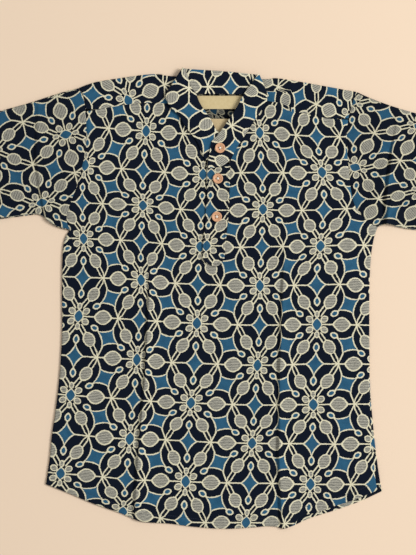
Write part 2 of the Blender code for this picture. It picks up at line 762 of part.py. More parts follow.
def main():
    """Build every piece of the kurta."""
    clear_scene()
    cotton = make_material("printed_cotton", PRINTED_COTTON)
    coconut = make_material("coconut_shell", COCONUT)
    make_front_panel(cotton)
    make_back_panel(cotton)
    make_yoke(cotton)
    make_sleeve(
        "sleeve_left", spline(ARMHOLE_LEFT), spline(SLEEVE_TOP_LEFT), spline(SLEEVE_UNDER_LEFT), -1, cotton
    )
    make_sleeve(
        "sleeve_right", spline(ARMHOLE_RIGHT), spline(SLEEVE_TOP_RIGHT), spline(SLEEVE_UNDER_RIGHT), 1, cotton
    )
    make_collar(cotton)
    make_placket(cotton)
    make_label("neck_label", NECK_LABEL, make_material("woven_label", LABEL_GOLD))
    make_label("size_label", SIZE_LABEL, make_material("plain_label", LABEL_BEIGE))
    band_top = max(row[4] for row in BAND_RIGHT[7:]) + BAND_WALL + BAND_CROWN
    make_button("button_1", BUTTON_ON_BAND, band_top + SEAM_GAP, coconut)
    for number, (x, y) in enumerate(BUTTONS_ON_PLACKET, 2):
        radius = BUTTON_DIAMETER / 2
        around = [upper_top(x + dx, y + dy) for dx in (-radius, radius) for dy in (-radius, radius)]
        base = max(around) + SEAM_GAP + PLACKET_WALL + SEAM_GAP
        make_button(f"button_{number}", (x, y), base, coconut)


main()
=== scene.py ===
"""Dress a child's printed cotton kurta, laid flat on a pale floor.

Metres, +Z up, in the frame of the solids. The garment lies on z = 0, hem
towards -Y and collar towards +Y. Left and right are those of a viewer who looks
down at it. Tables and sizes are in millimetres, and MM turns them into metres.
"""

import logging
import math
from dataclasses import dataclass, field
from enum import Enum

import bpy
import numpy as np
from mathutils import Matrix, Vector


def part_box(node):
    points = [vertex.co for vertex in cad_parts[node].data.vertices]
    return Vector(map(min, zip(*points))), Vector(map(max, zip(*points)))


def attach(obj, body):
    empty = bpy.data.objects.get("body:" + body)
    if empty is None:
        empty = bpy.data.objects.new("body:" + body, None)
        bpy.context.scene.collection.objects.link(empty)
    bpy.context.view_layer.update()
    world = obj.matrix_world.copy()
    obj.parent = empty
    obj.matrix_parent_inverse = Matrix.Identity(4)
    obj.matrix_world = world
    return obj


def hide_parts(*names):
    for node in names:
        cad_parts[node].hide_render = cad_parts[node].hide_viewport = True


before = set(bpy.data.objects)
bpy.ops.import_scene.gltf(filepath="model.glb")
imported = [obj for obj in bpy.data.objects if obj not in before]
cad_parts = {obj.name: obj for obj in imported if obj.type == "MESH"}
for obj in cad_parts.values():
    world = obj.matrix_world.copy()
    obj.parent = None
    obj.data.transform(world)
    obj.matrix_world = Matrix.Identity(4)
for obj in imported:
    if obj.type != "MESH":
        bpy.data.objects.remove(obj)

log = logging.getLogger("kurta")

MM = 0.001

# How the layers lie on each other, as in the solids
WALL = 1.3
SEAM_GAP = 0.3
LAYER = WALL + SEAM_GAP
FOLD_RADIUS = (LAYER + WALL) / 2
FOLD_ARC = (LAYER / 2) * math.pi / 2
PUFF = 1.6
PUFF_REACH = 28.0
CLOTH = 0.6
BAND_WALL = 1.4
BAND_CROWN = 0.7
BAND_FOLD_RADIUS = 1.35
BAND_UNDER_BACK = 4.15
PLACKET_WALL = 1.6
BACK_YOKE_DEPTH = 75.0
PRINT_UNIT = 1.14

# Outlines: x, y of the points that each edge passes through
TOP_LEFT = [(-155, 239.5), (-136, 246.3), (-108, 251), (-80, 254.8), (-62, 255.4), (-44, 253)]
TOP_RIGHT = [(53, 250), (70, 251), (97, 247), (125, 242), (152, 237), (161.3, 235.5)]
ARMHOLE_LEFT = [
    (-155, 239.5), (-149.3, 229), (-146.7, 212.6), (-145.6, 192), (-146.1, 174),
    (-148.8, 158), (-156.8, 127), (-164.5, 107), (-168.4, 91), (-164.5, 77.5),
]
ARMHOLE_RIGHT = [
    (161.3, 235.5), (157, 222), (152.2, 203.5), (150.5, 188), (150.6, 172),
    (152.2, 152), (155.6, 121.5), (160.2, 104.5), (167, 94), (176, 86), (186, 81.5),
]
SLEEVE_TOP_LEFT = [(-155, 239.5), (-176, 234), (-210, 223), (-245, 213.4), (-301.5, 199.5)]
SLEEVE_UNDER_LEFT = [
    (-164.5, 77.5), (-177, 80.5), (-187, 86), (-198.5, 95), (-212, 94.7), (-240, 91), (-280, 86.6),
]
SLEEVE_TOP_RIGHT = [(161.3, 235.5), (179.5, 227.5), (207, 217.5), (250, 205), (301.5, 189)]
SLEEVE_UNDER_RIGHT = [(186, 81.5), (196, 84.5), (208, 82), (220, 79.2), (240, 77), (274, 72)]
SIDE_LEFT = [
    (-164.5, 77.5), (-170, 70), (-173, 52), (-173.8, 10), (-173.6, -30), (-174.6, -59),
    (-177, -93), (-181.3, -129), (-185.4, -157), (-187.6, -180), (-190.2, -199), (-192.2, -211.5),
]
SIDE_RIGHT = [
    (186, 81.5), (182, 70), (178.5, 50), (176.6, 15), (176.4, -40), (177, -95),
    (180, -137), (184.3, -178), (188.5, -208), (191, -219.5),
]
HEM_LEFT = [
    (-192.2, -211.5), (-168, -221), (-137, -234), (-107, -244.5), (-86, -253.5), (-73, -255.3),
    (-50, -256.5), (-25, -259.8), (10, -262.3), (43, -260.8), (60, -259.3), (72, -260.2),
    (79, -262.5),
]
HEM_RIGHT = [
    (79, -262.5), (91, -258.5), (103, -252.5), (117, -247.5), (140, -240.5), (166, -231),
    (191, -219.5),
]
FRONT_HEM_RIGHT = [
    (79, -262.5), (90, -257.5), (99, -248), (117, -243.5), (138, -236), (160, -229),
    (185.5, -218.5),
]
FRONT_SIDE_RIGHT = [(176.8, -95), (177.4, -130), (180, -178), (183, -204), (185.5, -218.5)]
YOKE_SEAM_LEFT = [(-53.5, 222.9), (-75, 222.4), (-96, 221), (-120, 217.5), (-146.7, 212.6)]
YOKE_SEAM_RIGHT = [
    (60, 225), (74, 222.6), (85.5, 218.5), (89.5, 212.3), (107, 210), (128, 205), (152.2, 203.5),
]
NECK_LEFT = [
    (-53.5, 222.9), (-50, 216.5), (-42, 210), (-36.5, 201), (-31.5, 193), (-24, 184.5),
    (-18.5, 175), (-14, 164.5), (-9.2, 155), (-8.5, 149),
]
NECK_BACK = [
    (-53.5, 222.9), (-52.8, 228), (-51, 232.2), (-40, 233.2), (6, 232.6), (42, 232),
    (56, 230.8), (59, 228), (60, 225),
]
NECK_RIGHT = [(60, 225), (54.5, 216), (45, 201.5), (35, 186), (26.8, 173.5), (20, 161), (17, 153)]
PLACKET_LEFT = [(-8.3, 147.8), (-8.7, 128), (-10, 98), (-12.6, 68), (-14.3, 47)]
PLACKET_FOOT = [(-14.3, 47), (-10.5, 41.5), (-4.5, 38), (1.7, 36.3), (7, 39.5), (11.2, 45.6)]
PLACKET_RIGHT = [(11.2, 45.6), (13, 66), (16, 97), (17.2, 122), (18, 150.5)]

# Collar band: seam point, free edge point and height of the band's underside
BAND_LEFT = [
    # seam x, seam y, free x, free y, under
    (11.5, 158, 24, 182.5, 5.0), (0, 156.5, 15, 184, 5.0), (-10, 158, 8, 187.5, 5.0),
    (-15.5, 168.5, 2.3, 191, 5.0), (-19.4, 177.5, -1.5, 198.5, 5.0), (-25.5, 186, -6.3, 207, 5.1),
    (-31.5, 193, -13.2, 216.5, 5.3), (-36.5, 201, -17.8, 224.5, 5.5),
    (-40.5, 208.5, -21.5, 233.5, 5.9), (-46, 213.3, -27, 240.5, 6.3),
    (-51.5, 219.5, -29, 247.5, 6.7), (-54.3, 225, -31, 254, 6.9),
]
BAND_BACK = [
    # seam x, seam y, free x, free y
    (-45, 233.2, -27, 260.8), (-28, 232.8, -15, 260), (-9, 232.7, -2, 259.3),
    (10, 232.6, 11, 258.3), (29, 232.3, 24, 257.2), (46, 231.8, 39, 255.5),
]
BAND_RIGHT = [
    # seam x, seam y, free x, free y, under
    (59.5, 223.8, 43.5, 246, 6.9), (55, 216.8, 36.2, 236.8, 6.8), (50, 209, 32, 229.5, 6.8),
    (44.6, 201, 26.8, 220, 6.8), (38.5, 191.5, 20.8, 210, 6.8), (32.5, 182.2, 14.2, 200.5, 6.8),
    (26.8, 173.5, 8.2, 191.7, 6.8), (21, 163, 3.6, 186, 6.8), (15, 154.6, 0.5, 182.4, 6.8),
    (7, 150, -1.6, 180, 6.8), (-0.8, 148.5, -3, 178.5, 6.8), (-8.4, 148.5, -4, 175.5, 6.8),
]
BAND_FOLD_LEFT = ((-56.2, 231), (-35.8, 262.3))
BAND_FOLD_RIGHT = ((61, 229.8), (50.2, 255))

# Soft ridges and troughs of the upper layer
RIDGES = [
    # from x, from y, to x, to y, rise, half width: the solids' own
    (-74, 40, -77, -60, 0.9, 9), (-77, -60, -82.5, -150, 1.1, 9),
    (-82.5, -150, -85.5, -254, 1.2, 8), (79.5, 70, 77.5, -40, 0.9, 8),
    (77.5, -40, 75.5, -150, 1.0, 8), (75.5, -150, 79, -262, 1.2, 7), (87.6, 245, 88, 205, 1.2, 5),
    (200, 145, 172, 100, 1.2, 9), (228, 120, 200, 92, 1.0, 8), (-198, 100, -172, 118, 0.9, 8),
    (-187, -143, -110, -149, 0.5, 7), (150, 70, 120, 30, 0.7, 14),
    # Shallower ones that only the cloth has
    (168, 118, 190, 140, -0.6, 5), (190, 90, 214, 110, -1.2, 3.5), (-192, 92, -168, 104, -0.7, 4),
    (196, 150, 186, 108, 1.0, 5), (232, 118, 207, 96, 0.8, 5), (190, 112, 181, 90, -0.9, 3.5),
    (-180, 70, -150, 62, -0.6, 5), (-130, 67, -20, 66, -0.35, 8), (-140, 24, -125, 30, -0.4, 8),
    (-190, 150, -165, 118, 0.5, 7), (-260, 200, -205, 150, 0.4, 12), (262, 180, 215, 150, 0.5, 11),
    (-186, -150, -112, -155, -0.4, 4), (-60, 120, -35, 30, 0.35, 16), (40, 40, 60, -60, 0.3, 18),
    (-130, 60, -120, -40, 0.35, 18), (130, -60, 138, -190, 0.4, 16),
    (-140, -180, -128, -246, 0.5, 9), (-45, -190, -50, -256, 0.5, 9),
    (12, -200, 15, -262, 0.45, 10), (45, -205, 52, -260, 0.4, 8), (128, -195, 135, -238, 0.45, 8),
    (160, -180, 168, -228, 0.4, 8), (-165, 40, -120, 20, 0.4, 10), (170, 60, 128, 52, 0.5, 9),
    (-100, 214, -104, 190, 0.4, 8), (112, 205, 108, 180, 0.4, 9),
]


class Slot(Enum):
    """The record's material slots."""

    COTTON = "printed_cotton"
    WOVEN = "woven_label"
    TAPE = "plain_label"
    COCONUT = "coconut_shell"


class Held(Enum):
    """How a sheet of cloth is held."""

    LAID = "laid"
    FOLDED = "folded"


class Along(Enum):
    """What a curve's shares are counted in."""

    LENGTH = 2
    X = 0


def spline(rows: list[tuple[float, ...]], step: float = 4.0) -> np.ndarray:
    """Points about a step apart on the smooth curve through the rows.

    Args:
        rows: the points that the curve passes through, each with two or more values.
        step: distance between the new points, in millimetres.

    Returns:
        One row of values for each new point.
    """
    points = np.array([rows[0], *rows, rows[-1]], dtype=float)
    found = []
    for before, start, end, after in zip(points, points[1:], points[2:], points[3:]):
        count = max(1, round(math.dist(start[:2], end[:2]) / step))
        slope_in, slope_out = (end - before) / 2, (after - start) / 2
        for i in range(count):
            t = i / count
            curve = start + slope_in * t + (3 * (end - start) - 2 * slope_in - slope_out) * t**2
            found.append(curve + (2 * (start - end) + slope_in + slope_out) * t**3)
    found.append(points[-1])
    return np.array(found)


def chain(*curves: np.ndarray) -> np.ndarray:
    """Curves end to end as one, each shared end point once.

    Args:
        *curves: the points of each curve, in order.

    Returns:
        The joined points.
    """
    points = list(curves[0])
    for curve in curves[1:]:
        points.extend(curve[1:] if math.dist(points[-1], curve[0]) < 0.05 else curve)
    return np.array(points)


def distance_to(points: np.ndarray, curve: np.ndarray) -> np.ndarray:
    """Distance of each point from a curve.

    Args:
        points: x and y of each point.
        curve: x and y of the curve's points.

    Returns:
        One distance for each point, in millimetres.
    """
    nearest = np.full(len(points), 1e9)
    for start, end in zip(curve, curve[1:]):
        run = end - start
        reach = points - start
        t = np.clip(reach @ run / max(run @ run, 1e-9), 0, 1)
        away = reach - t[:, None] * run
        nearest = np.minimum(nearest, np.hypot(away[:, 0], away[:, 1]))
    return nearest


def smooth_step(low: float, high: float, value: np.ndarray) -> np.ndarray:
    """0 below low, 1 above high and a smooth rise between them."""
    t = np.clip((value - low) / (high - low), 0, 1)
    return t * t * (3 - 2 * t)


def hump(distance: np.ndarray, width: float) -> np.ndarray:
    """1 at no distance, about a third at the width and 0 far off."""
    return np.exp(-((distance / width) ** 2))


def x_on(curve: np.ndarray, y: np.ndarray | float) -> np.ndarray:
    """Where a curve that runs along Y crosses each y."""
    order = np.argsort(curve[:, 1], kind="stable")
    return np.interp(y, curve[order, 1], curve[order, 0])


def y_on(curve: np.ndarray, x: np.ndarray | float) -> np.ndarray:
    """Where a curve that runs along X crosses each x."""
    order = np.argsort(curve[:, 0], kind="stable")
    return np.interp(x, curve[order, 0], curve[order, 1])


def crowded(share: np.ndarray, peaks: list[tuple[float, float, float]]) -> np.ndarray:
    """Even shares moved closer together round some places.

    Args:
        share: even shares from 0 to 1.
        peaks: place, half width and strength of each crowding.

    Returns:
        The moved shares, still from 0 to 1.
    """
    t = np.linspace(0, 1, 2001)
    density = np.ones_like(t)
    for place, width, strength in peaks:
        density += strength * hump(t - place, width)
    total = np.concatenate([[0], np.cumsum((density[1:] + density[:-1]) / 2)])
    return np.interp(share, total / total[-1], t)


EDGE_CROWD = [(0.0, 0.02, 4.0), (1.0, 0.02, 4.0)]
SHOULDER = spline(TOP_LEFT + TOP_RIGHT)
ARM_LEFT = spline(ARMHOLE_LEFT)
ARM_RIGHT = spline(ARMHOLE_RIGHT)
SIDE_L = spline(SIDE_LEFT)
SIDE_R = spline(SIDE_RIGHT)
FRONT_SIDE_R = spline(FRONT_SIDE_RIGHT)
FRONT_HEM = spline(HEM_LEFT + FRONT_HEM_RIGHT[1:])
CLOSED_EDGES = [
    spline(SLEEVE_TOP_LEFT), SHOULDER, spline(SLEEVE_TOP_RIGHT), spline(SLEEVE_UNDER_LEFT),
    spline(SLEEVE_UNDER_RIGHT), SIDE_L, SIDE_R, FRONT_HEM,
]
SEAMS = [ARM_LEFT, ARM_RIGHT, spline(YOKE_SEAM_LEFT), spline(YOKE_SEAM_RIGHT)]
BACK_SEAM_Y = float(y_on(spline(NECK_BACK), 0)) - BACK_YOKE_DEPTH


@dataclass(frozen=True)
class Curve:
    """An edge, sampled by its share of the way along it."""

    points: np.ndarray
    along: Along = Along.LENGTH

    def at(self, share: np.ndarray) -> np.ndarray:
        """The points at these shares of the way along the edge.

        Args:
            share: shares of the way, from 0 to 1.

        Returns:
            x and y of each.
        """
        if self.along is Along.LENGTH:
            steps = np.hypot(*np.diff(self.points, axis=0).T)
            way = np.concatenate([[0], np.cumsum(steps)])
        else:
            way = np.abs(self.points[:, self.along.value] - self.points[0, self.along.value])
            way = np.maximum.accumulate(way)
        way = way / way[-1]
        return np.stack([np.interp(share, way, self.points[:, i]) for i in (0, 1)], axis=1)


@dataclass(frozen=True)
class Patch:
    """A four-sided flat area between its edges."""

    below: Curve
    above: Curve
    left: Curve
    right: Curve

    def places(self, u: np.ndarray, v: np.ndarray) -> np.ndarray:
        """Flat points for shares across (u) and up (v) the area.

        Args:
            u: shares across.
            v: shares up.

        Returns:
            x and y of each, in mm.
        """
        across, up = u[:, None], v[:, None]
        ruled = self.below.at(u) * (1 - up) + self.above.at(u) * up
        sides = self.left.at(v) * (1 - across) + self.right.at(v) * across
        zero, one = np.zeros_like(u), np.ones_like(u)
        low = self.below.at(zero) * (1 - across) + self.below.at(one) * across
        high = self.above.at(zero) * (1 - across) + self.above.at(one) * across
        return ruled + sides - low * (1 - up) - high * up


@dataclass(frozen=True)
class PressCrease:
    """A pressed crease: the cloth steps down on its left and eases off on its right."""

    path: tuple[tuple[float, float], ...]
    rise: float
    steep: float
    gentle: float
    # It fades out towards its upper end and stops a little past its lower one
    fade: tuple[float, float] = (30.0, -60.0)
    overrun: float = 12.0
    # The hollow at the foot of the step: its share of the rise and its width
    dip: float = 0.5
    dip_width: float = 2.4

    def aside(self, x: np.ndarray, y: np.ndarray) -> np.ndarray:
        """Distance to the right of the crease."""
        return x - x_on(np.array(self.path), y)

    def height(self, x: np.ndarray, y: np.ndarray) -> np.ndarray:
        """What the crease adds to the cloth's height.

        Args:
            x: each point's place across, in mm.
            y: its place up, in mm.

        Returns:
            The rise at each point, in mm.
        """
        aside = self.aside(x, y)
        ys = [point[1] for point in self.path]
        above, below = self.fade
        strength = smooth_step(max(ys) + above, max(ys) + below, y) * (y > min(ys) - self.overrun)
        step = smooth_step(-self.steep, 0.0, aside) * np.exp(-np.maximum(aside, 0) / self.gentle)
        return self.rise * strength * (step - self.dip * hump(aside + self.steep, self.dip_width))


BODY_CREASES = [
    PressCrease(
        ((-74.0, 30), (-74.6, -6), (-76.5, -43), (-79.2, -96), (-82.6, -134), (-87.2, -186),
         (-90.6, -246)),
        rise=3.0, steep=2.6, gentle=9.0,
    ),
    PressCrease(
        ((79.7, 46), (77.8, 15), (76.4, -30), (74.4, -76), (73.9, -150), (73.0, -178),
         (77.0, -262)),
        rise=3.0, steep=2.6, gentle=8.0,
    ),
]
SLEEVE_CREASES = [
    PressCrease(
        ((206.9, 194.4), (202.3, 169.3), (200.1, 152.2), (197.8, 135.1), (195.5, 112.3),
         (193.2, 87.2)),
        rise=4.2, steep=2.6, gentle=7.0,
    ),
    PressCrease(
        ((220, 128), (214.9, 126), (206, 122), (202.3, 117), (198, 102), (195.5, 87)),
        rise=3.6, steep=2.6, gentle=6.0,
    ),
    PressCrease(
        ((-200, 226), (-202.4, 165), (-199, 130), (-195.5, 112), (-190, 84)),
        rise=2.0, steep=3.2, gentle=8.0,
    ),
]


class Relief:
    """The height of the upper layer: it swells inside the edges and rises at folds."""

    # How far in from the edges the swelling is whole, the cloth's faint waves, and how far it may
    # sink below where it starts
    inside: float = 12.0
    unevenness: float = 0.16
    sink: float = 0.2

    def rest(self, plan: np.ndarray) -> np.ndarray:
        """Height of the upper layer's underside at flat points, in millimetres.

        Args:
            plan: x and y of each point, in mm.

        Returns:
            The height at each point.
        """
        nearest = np.full(len(plan), 1e9)
        for edge in CLOSED_EDGES:
            nearest = np.minimum(nearest, distance_to(plan, edge))
        height = LAYER + PUFF * (1 - np.exp(-nearest / PUFF_REACH))
        inward = smooth_step(0.0, self.inside, nearest)
        for ax, ay, bx, by, rise, half_width in RIDGES:
            away = distance_to(plan, np.array([(ax, ay), (bx, by)], dtype=float))
            height += rise * hump(away, half_width) * (0.5 + 0.5 * inward)
        x, y = plan[:, 0], plan[:, 1]
        for crease in BODY_CREASES + SLEEVE_CREASES:
            height += crease.height(x, y)
        waves = np.sin(x / 31 + 1.3 * np.sin(y / 47)) * np.sin(y / 39 + 0.8 * np.sin(x / 53 + 1))
        waves += 0.6 * np.sin(x / 13.7 + y / 41 + 2) * np.sin(y / 17.3 - x / 29)
        return np.maximum(height + self.unevenness * waves * inward, LAYER - self.sink)

    def top(self, plan: np.ndarray) -> np.ndarray:
        """Height of the upper layer's top at flat points."""
        return self.rest(plan) + WALL


RELIEF = Relief()


def rounded(distance: np.ndarray, radius: float) -> np.ndarray:
    """0 at an edge and 1 from a radius inside it, along a quarter of a circle."""
    t = 1 - np.clip(distance / radius, 0, 1)
    return np.sqrt(1 - t * t)


class FrontPrint:
    """Where the body's print lies: a smooth map through the places of its flowers and stars."""

    # x, y in millimetres, column in half repeats and row in repeats
    PLACES = [
        (-146.8, 151.7, -2, 0), (-148.9, 68.2, -2, 1), (-154.7, -19.9, -2, 2),
        (-163.7, -110.1, -2, 3), (-175.1, -199.3, -2, 4), (-77.7, 190.5, -1, -0.5),
        (-80.9, 106.0, -1, 0.5), (-83.3, 21.2, -1, 1.5), (-88.0, -69.4, -1, 2.5),
        (-96.3, -159.7, -1, 3.5), (-104.3, -242.2, -1, 4.5), (-13.1, 140.8, 0, 0),
        (-16.5, 58.9, 0, 1), (-20.1, -28.3, 0, 2), (-27.0, -118.9, 0, 3), (-32.8, -208.2, 0, 4),
        (51.4, 188.7, 1, -0.5), (55.3, 103.2, 1, 0.5), (51.9, 14.4, 1, 1.5), (48.9, -75.9, 1, 2.5),
        (42.7, -164.5, 1, 3.5), (35.8, -255.0, 1, 4.5), (122.3, 144.2, 2, 0), (119.9, 59.7, 2, 1),
        (116.6, -29.6, 2, 2), (112.9, -120.8, 2, 3), (109.2, -211.5, 2, 4), (182.6, -165.6, 3, 3.5),
        (-83.9, 65.1, -1, 1), (-149.7, 23.9, -2, 1.5), (-18.8, 16.3, 0, 1.5), (-85.2, -24.5, -1, 2),
        (-159.4, -65.3, -2, 2.5), (-22.3, -73.4, 0, 2.5), (54.1, 59.2, 1, 1), (117.0, 15.5, 2, 1.5),
        (51.2, -30.3, 1, 2), (114.8, -74.4, 2, 2.5), (-92.0, -115.1, -1, 3),
        (-169.3, -153.4, -2, 3.5), (-30.2, -162.1, 0, 3.5), (-100.7, -206.0, -1, 4),
        (-35.7, -254.2, 0, 4.5), (45.9, -121.3, 1, 3), (110.7, -165.3, 2, 3.5),
        (40.1, -210.0, 1, 4), (116.1, 184.1, 2, -0.5), (124.8, 100.9, 2, 0.5),
        # Between them, by the creases and at the sides
        (-69.0, 30.2, -0.72, 1.37), (-69.0, -1.7, -0.71, 1.73), (-69.0, -32.5, -0.69, 2.08),
        (-70.1, -64.4, -0.66, 2.43), (-53.0, -65.5, -0.42, 2.42), (-35.9, -65.5, -0.19, 2.42),
        (-69.0, -97.5, -0.62, 2.78), (-69.0, -128.2, -0.58, 3.13), (-68.4, -159.0, -0.54, 3.49),
        (-51.9, -113.4, -0.36, 2.95), (106.6, 14.2, 1.88, 1.51), (107.7, -17.7, 1.88, 1.87),
        (90.6, -81.5, 1.68, 2.57), (106.6, -81.5, 1.92, 2.58), (107.2, -113.4, 1.94, 2.92),
        (91.8, -161.3, 1.74, 3.46), (-135.1, 132.2, -1.76, 0.20), (-102.4, 132.2, -1.29, 0.18),
        (-68.4, 132.8, -0.81, 0.14), (-133.9, 108.9, -1.74, 0.49), (-101.5, 109.4, -1.27, 0.47),
        (61.0, 123.1, 1.09, 0.23), (92.9, 122.5, 1.55, 0.23), (61.0, 106.6, 1.08, 0.42),
        (124.8, 132.8, 2.02, 0.12), (160.2, 111.1, 2.49, 0.38), (160.2, 97.5, 2.50, 0.57),
        (159.6, 15.4, 2.59, 1.50), (159.0, -33.6, 2.60, 2.04), (159.0, -65.5, 2.61, 2.40),
        (143.1, 15.4, 2.36, 1.51), (175.0, -1.7, 2.83, 1.68), (44.5, 83.8, 0.86, 0.69),
        (-83.8, -141.9, -0.79, 3.32),
    ]
    HALF_REPEAT = 61 * PRINT_UNIT
    ROW = 80 * PRINT_UNIT

    def __init__(self) -> None:
        """Fit column and row as smooth functions of the place on the cloth."""
        table = np.array(self.PLACES)
        self.known = table[:, :2] / 100
        away = self.spread(self.known)
        plain = np.column_stack([np.ones(len(table)), self.known, self.steps(table[:, :2])])
        size = len(table) + plain.shape[1]
        system = np.zeros((size, size))
        system[: len(table), : len(table)] = away + 0.02 * np.eye(len(table))
        system[: len(table), len(table) :] = plain
        system[len(table) :, : len(table)] = plain.T
        goal = np.zeros((size, 2))
        goal[: len(table)] = table[:, 2:]
        self.weights = np.linalg.lstsq(system, goal, rcond=None)[0]

    def spread(self, places: np.ndarray) -> np.ndarray:
        """The thin plate's bend at each place for each known place."""
        gap = np.hypot(*(places[:, None] - self.known[None]).transpose(2, 0, 1))
        return gap**2 * np.log(gap + 1e-6)

    @staticmethod
    def steps(plan: np.ndarray) -> np.ndarray:
        """The share of each press crease's hidden cloth that is passed at each point.

        Args:
            plan: x and y of each point, in mm.

        Returns:
            A share from 0 to 1 for each crease and point.
        """
        x, y = plan[:, 0], plan[:, 1]
        begun = smooth_step(60, 20, y)
        sides = [smooth_step(-c.steep, 0.4, c.aside(x, y)) * begun for c in BODY_CREASES]
        return np.column_stack(sides)

    def places(self, plan: np.ndarray) -> np.ndarray:
        """Print places in millimetres for flat points on the body.

        Args:
            plan: x and y of each point, in mm.

        Returns:
            Each point's place on the print.
        """
        near = plan / 100
        plain = np.column_stack([np.ones(len(plan)), near, self.steps(plan)])
        found = np.hstack([self.spread(near), plain]) @ self.weights
        return found * np.array([self.HALF_REPEAT, self.ROW])


@dataclass(frozen=True)
class FlatPrint:
    """The print lying straight on a piece: where a flower is and which way the repeat runs."""

    flower: tuple[float, float]
    along: tuple[float, float]
    up: tuple[float, float]

    def places(self, plan: np.ndarray) -> np.ndarray:
        """Print places in millimetres for flat points."""
        turn = np.linalg.inv(np.array([self.along, self.up]).T)
        return (plan - np.array(self.flower)) @ turn.T


def deselect() -> None:
    """Leave every object unselected."""
    bpy.ops.object.select_all(action="DESELECT")


def make_active(obj: bpy.types.Object) -> None:
    """Select only this object and make it the active one.

    Args:
        obj: the object.
    """
    deselect()
    obj.select_set(True)
    bpy.context.view_layer.objects.active = obj


def add_grid(name: str, columns: int, rows: int) -> tuple[bpy.types.Object, np.ndarray, np.ndarray]:
    """Add a flat grid whose points are laid on a piece's form afterwards.

    Args:
        name: the piece's name.
        columns: cells across.
        rows: cells up.

    Returns:
        The object, and each point's share across and up, from 0 to 1.
    """
    deselect()
    bpy.ops.mesh.primitive_grid_add(x_subdivisions=columns, y_subdivisions=rows, size=1.0)
    obj = bpy.context.object
    obj.name = obj.data.name = name
    places = np.empty(len(obj.data.vertices) * 3)
    obj.data.vertices.foreach_get("co", places)
    places = places.reshape(-1, 3)
    return obj, np.clip(places[:, 0] + 0.5, 0, 1), np.clip(places[:, 1] + 0.5, 0, 1)


def lay(
    obj: bpy.types.Object, points: np.ndarray, print_places: np.ndarray, face_down: bool = False
) -> None:
    """Put a grid's points in their places and give it the print's places.

    Args:
        obj: the grid.
        points: x, y, z of each point, in millimetres.
        print_places: where each point lies on the print, in millimetres.
        face_down: whether the cloth's outside faces the floor.
    """
    mesh = obj.data
    mesh.vertices.foreach_set("co", (points * MM).ravel())
    corners = np.empty(len(mesh.loops), dtype=np.int32)
    mesh.loops.foreach_get("vertex_index", corners)
    mesh.uv_layers[0].data.foreach_set("uv", print_places[corners].ravel())
    if face_down:
        mesh.flip_normals()
    mesh.update()


def apply_modifier(obj: bpy.types.Object, kind: str, **settings: object) -> None:
    """Add a modifier with its settings and apply it.

    Args:
        obj: the piece.
        kind: the modifier's type.
        **settings: its settings by name.
    """
    make_active(obj)
    modifier = obj.modifiers.new("shaping", kind)
    for key, value in settings.items():
        setattr(modifier, key, value)
    bpy.ops.object.modifier_apply(modifier=modifier.name)


def close_tube(obj: bpy.types.Object) -> None:
    """Merge a tube's first and last columns.

    Args:
        obj: the tube's mesh, open along one line.
    """
    make_active(obj)
    bpy.ops.object.mode_set(mode="EDIT")
    bpy.ops.mesh.select_all(action="SELECT")
    bpy.ops.mesh.remove_doubles(threshold=0.00001)
    bpy.ops.object.mode_set(mode="OBJECT")


def thicken(obj: bpy.types.Object, wall: float, centred: bool = False, wrong_side: int = 0) -> None:
    """Give a laid grid its cloth's thickness.

    Args:
        obj: the piece, still one layer of faces.
        wall: the cloth's thickness in millimetres.
        centred: whether it is added to both sides, or else inwards.
        wrong_side: how many materials further the inner side's is.
    """
    apply_modifier(
        obj, "SOLIDIFY", thickness=wall * MM, offset=0.0 if centred else -1.0,
        use_quality_normals=True, material_offset=wrong_side,
    )


def bevel(obj: bpy.types.Object, width: float, degrees: float) -> None:
    """Round a piece's edges that are sharper than an angle by a width in millimetres.

    Args:
        obj: the piece.
        width: how far the bevel reaches, in mm.
        degrees: the angle from which an edge is sharp.
    """
    apply_modifier(
        obj, "BEVEL", width=width * MM, segments=3, limit_method="ANGLE",
        angle_limit=math.radians(degrees),
    )


def smooth(obj: bpy.types.Object, degrees: float = 50.0) -> None:
    """Shade a piece smooth but for edges sharper than an angle."""
    make_active(obj)
    bpy.ops.object.shade_smooth_by_angle(angle=math.radians(degrees))


def dress(
    obj: bpy.types.Object,
    materials: list[bpy.types.Material],
    node: str | None = None,
) -> None:
    """Give a piece its materials, hide the solid it stands for and attach it to its body.

    Args:
        obj: the finished piece.
        materials: its materials, the first one on its outside.
        node: the solid that it replaces, if it stands for one.
    """
    if not obj.data.materials:
        for material in materials:
            obj.data.materials.append(material)
    if node:
        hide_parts(node)
    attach(obj, "root")
    log.info("%s: %d faces", obj.name, len(obj.data.polygons))


@dataclass(frozen=True)
class Cut:
    """A sheet's flat cut in metres and square metres, how it is held and what it lies on."""

    width: float
    length: float
    area: float | None = None
    rests_on: tuple[str, ...] = ()
    held: Held = Held.LAID


def finish_sheet(
    obj: bpy.types.Object, materials: list[bpy.types.Material], node: str
) -> None:
    """Shade a thickened sheet and dress it in its solid's place.

    Args:
        obj: the thickened sheet.
        materials: its materials.
        node: the solid that it replaces.
    """
    smooth(obj)
    dress(obj, materials, node)


# Finishes


def linear(colour: str) -> tuple[float, float, float, float]:
    """An sRGB hex colour as linear red, green, blue and full alpha."""
    parts = [int(colour[i : i + 2], 16) / 255 for i in (1, 3, 5)]
    return (*(c / 12.92 if c <= 0.04045 else ((c + 0.055) / 1.055) ** 2.4 for c in parts), 1.0)


